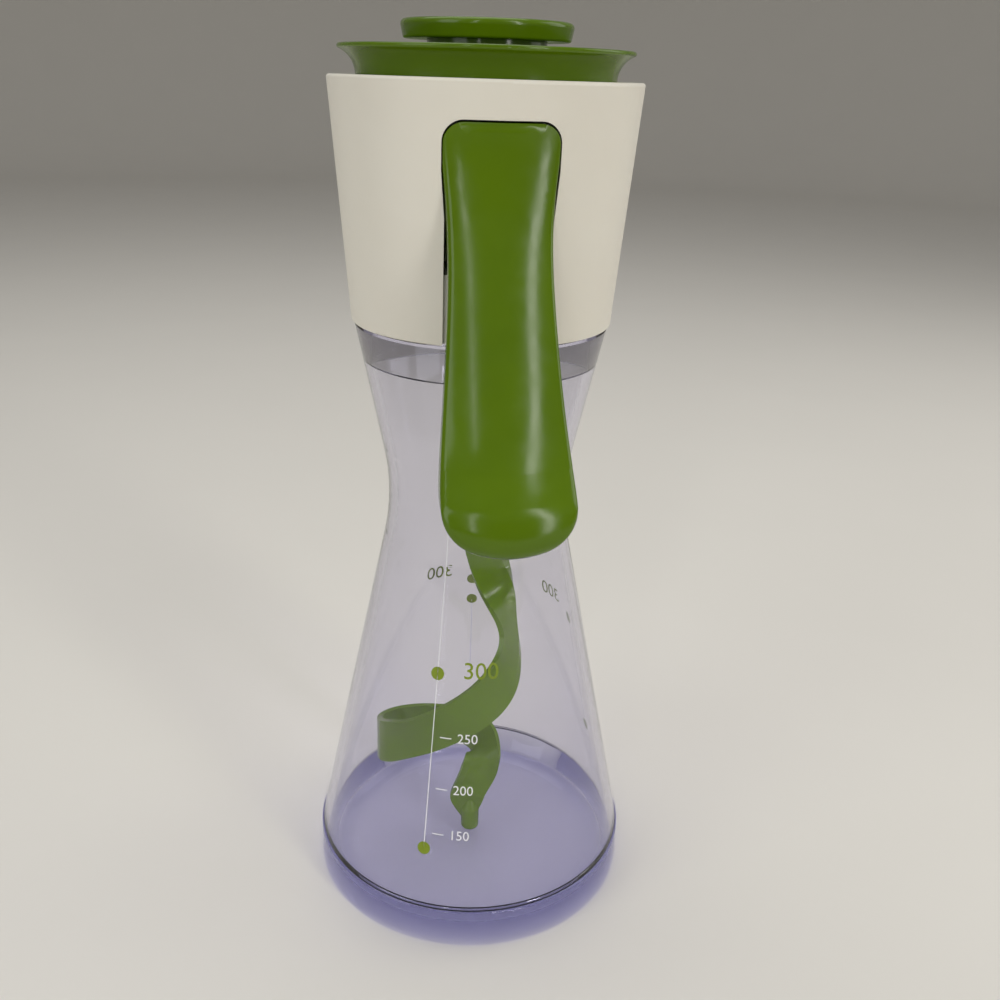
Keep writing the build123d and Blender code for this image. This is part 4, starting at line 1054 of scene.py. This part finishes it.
@dataclass
class Studio:
    """Plain pale floor, soft lamps and the camera at the photo's angle."""

    floor_finish: PaleFloor = PaleFloor("pale_floor", linear(224, 221, 214))
    floor_rise: float = 0.2 * MM
    floor_radius: float = 2.1
    floor_rings: tuple[float, ...] = (0.1, 0.3, 0.6)
    bend: float = 0.6
    bend_steps: int = 16
    backdrop_height: float = 1.15
    sides: int = 128
    lamp_aim: Place = (0.0, 0.0, 0.12)
    lamps: tuple[Lamp, ...] = (
        Lamp("key", (0.50, -0.72, 0.55), (0.11, 1.1), 3.4, (1.0, 0.985, 0.96)),
        Lamp("slim", (-0.34, -0.88, 0.55), (0.05, 0.9), 0.9, (1.0, 0.99, 0.97)),
        Lamp("side", (0.8, 0.15, 0.55), (0.5, 0.7), 1.8, (1.0, 0.985, 0.96)),
        Lamp("top", (-0.1, 0.25, 1.1), (1.0, 1.0), 5.0, (1.0, 0.99, 0.97)),
        Lamp("fill", (-0.8, -0.5, 0.5), (0.5, 0.9), 3.0, (0.97, 0.985, 1.0)),
    )
    surround_colour: Colour = (0.60, 0.59, 0.58)
    surround_strength: float = 0.42
    lens: float = 37.08
    sensor_width: float = 36.0
    nearest: float = 0.01
    eye: Place = (-27.24, -254.85, 218.0)
    heading: float = math.radians(1.387 + 6.1)
    tilt: float = math.radians(22.40)
    roll: float = math.radians(1.813)

    def build(self) -> None:
        """Put up the floor, the light and the camera."""
        self.lay_floor()
        for lamp in self.lamps:
            lamp.hang(self.lamp_aim)
        self.light_world()
        self.set_camera()

    def lay_floor(self) -> None:
        """Lay the round floor, which sweeps up all round as a backdrop.

        It lies a hair over the foot's underside, so that the clear foot shows it without a gap.
        """
        flat = bmesh.new()
        quarter = math.pi / 2
        turns = [quarter * i / self.bend_steps for i in range(self.bend_steps + 1)]
        profile = [(self.floor_radius * share, 0.0) for share in self.floor_rings]
        profile += [
            (self.floor_radius + self.bend * math.sin(t), self.bend * (1 - math.cos(t)))
            for t in turns
        ]
        profile.append((self.floor_radius + self.bend, self.backdrop_height))
        around = [4 * quarter * i / self.sides for i in range(self.sides)]
        rows = [
            [flat.verts.new((radius * math.cos(t), radius * math.sin(t), height + self.floor_rise))
             for t in around]
            for radius, height in profile
        ]
        flat.faces.new(rows[0]).smooth = True
        for inner, outer in zip(rows, rows[1:]):
            for i in range(self.sides):
                j = (i + 1) % self.sides
                flat.faces.new((inner[i], outer[i], outer[j], inner[j])).smooth = True
        mesh = settle(flat, "floor")
        mesh.materials.append(self.floor_finish.make())
        floor = put("floor", mesh)

    def light_world(self) -> None:
        """Give an even pale surround, which fills the shadows and shows in the gloss."""
        world = bpy.data.worlds.new("surround")
        bpy.context.scene.world = world
        world.use_nodes = True
        background = world.node_tree.nodes["Background"]
        background.inputs["Color"].default_value = (*self.surround_colour, 1)
        background.inputs["Strength"].default_value = self.surround_strength

    def set_camera(self) -> None:
        """Set the camera at the place and angle that were fitted to the photo."""
        data = bpy.data.cameras.new("camera")
        data.lens = self.lens
        data.sensor_width = self.sensor_width
        data.clip_start = self.nearest
        ahead = Vector((
            math.sin(self.heading) * math.cos(self.tilt),
            math.cos(self.heading) * math.cos(self.tilt),
            -math.sin(self.tilt),
        ))
        level = Vector((math.cos(self.heading), -math.sin(self.heading), 0))
        upright = level.cross(ahead)
        right = level * math.cos(self.roll) + upright * math.sin(self.roll)
        up = upright * math.cos(self.roll) - level * math.sin(self.roll)
        turn = Matrix((right, up, -ahead)).transposed().to_4x4()
        camera = put("camera", data)
        camera.matrix_world = Matrix.Translation(Vector(self.eye) * MM) @ turn
        bpy.context.scene.camera = camera


def main() -> None:
    """Dress the frame, mould the lever, copy its spring, print the bottle and set the studio."""
    logging.basicConfig(level=logging.INFO, format="%(message)s")
    finishes = dress_frame()
    LeverShell(finishes["green"]).build()
    WindingSpring(finishes["steel"]).build()
    Bottle().build()
    Studio().build()
    bpy.context.scene.view_settings.view_transform = "Standard"


if __name__ == "__main__":
    main()
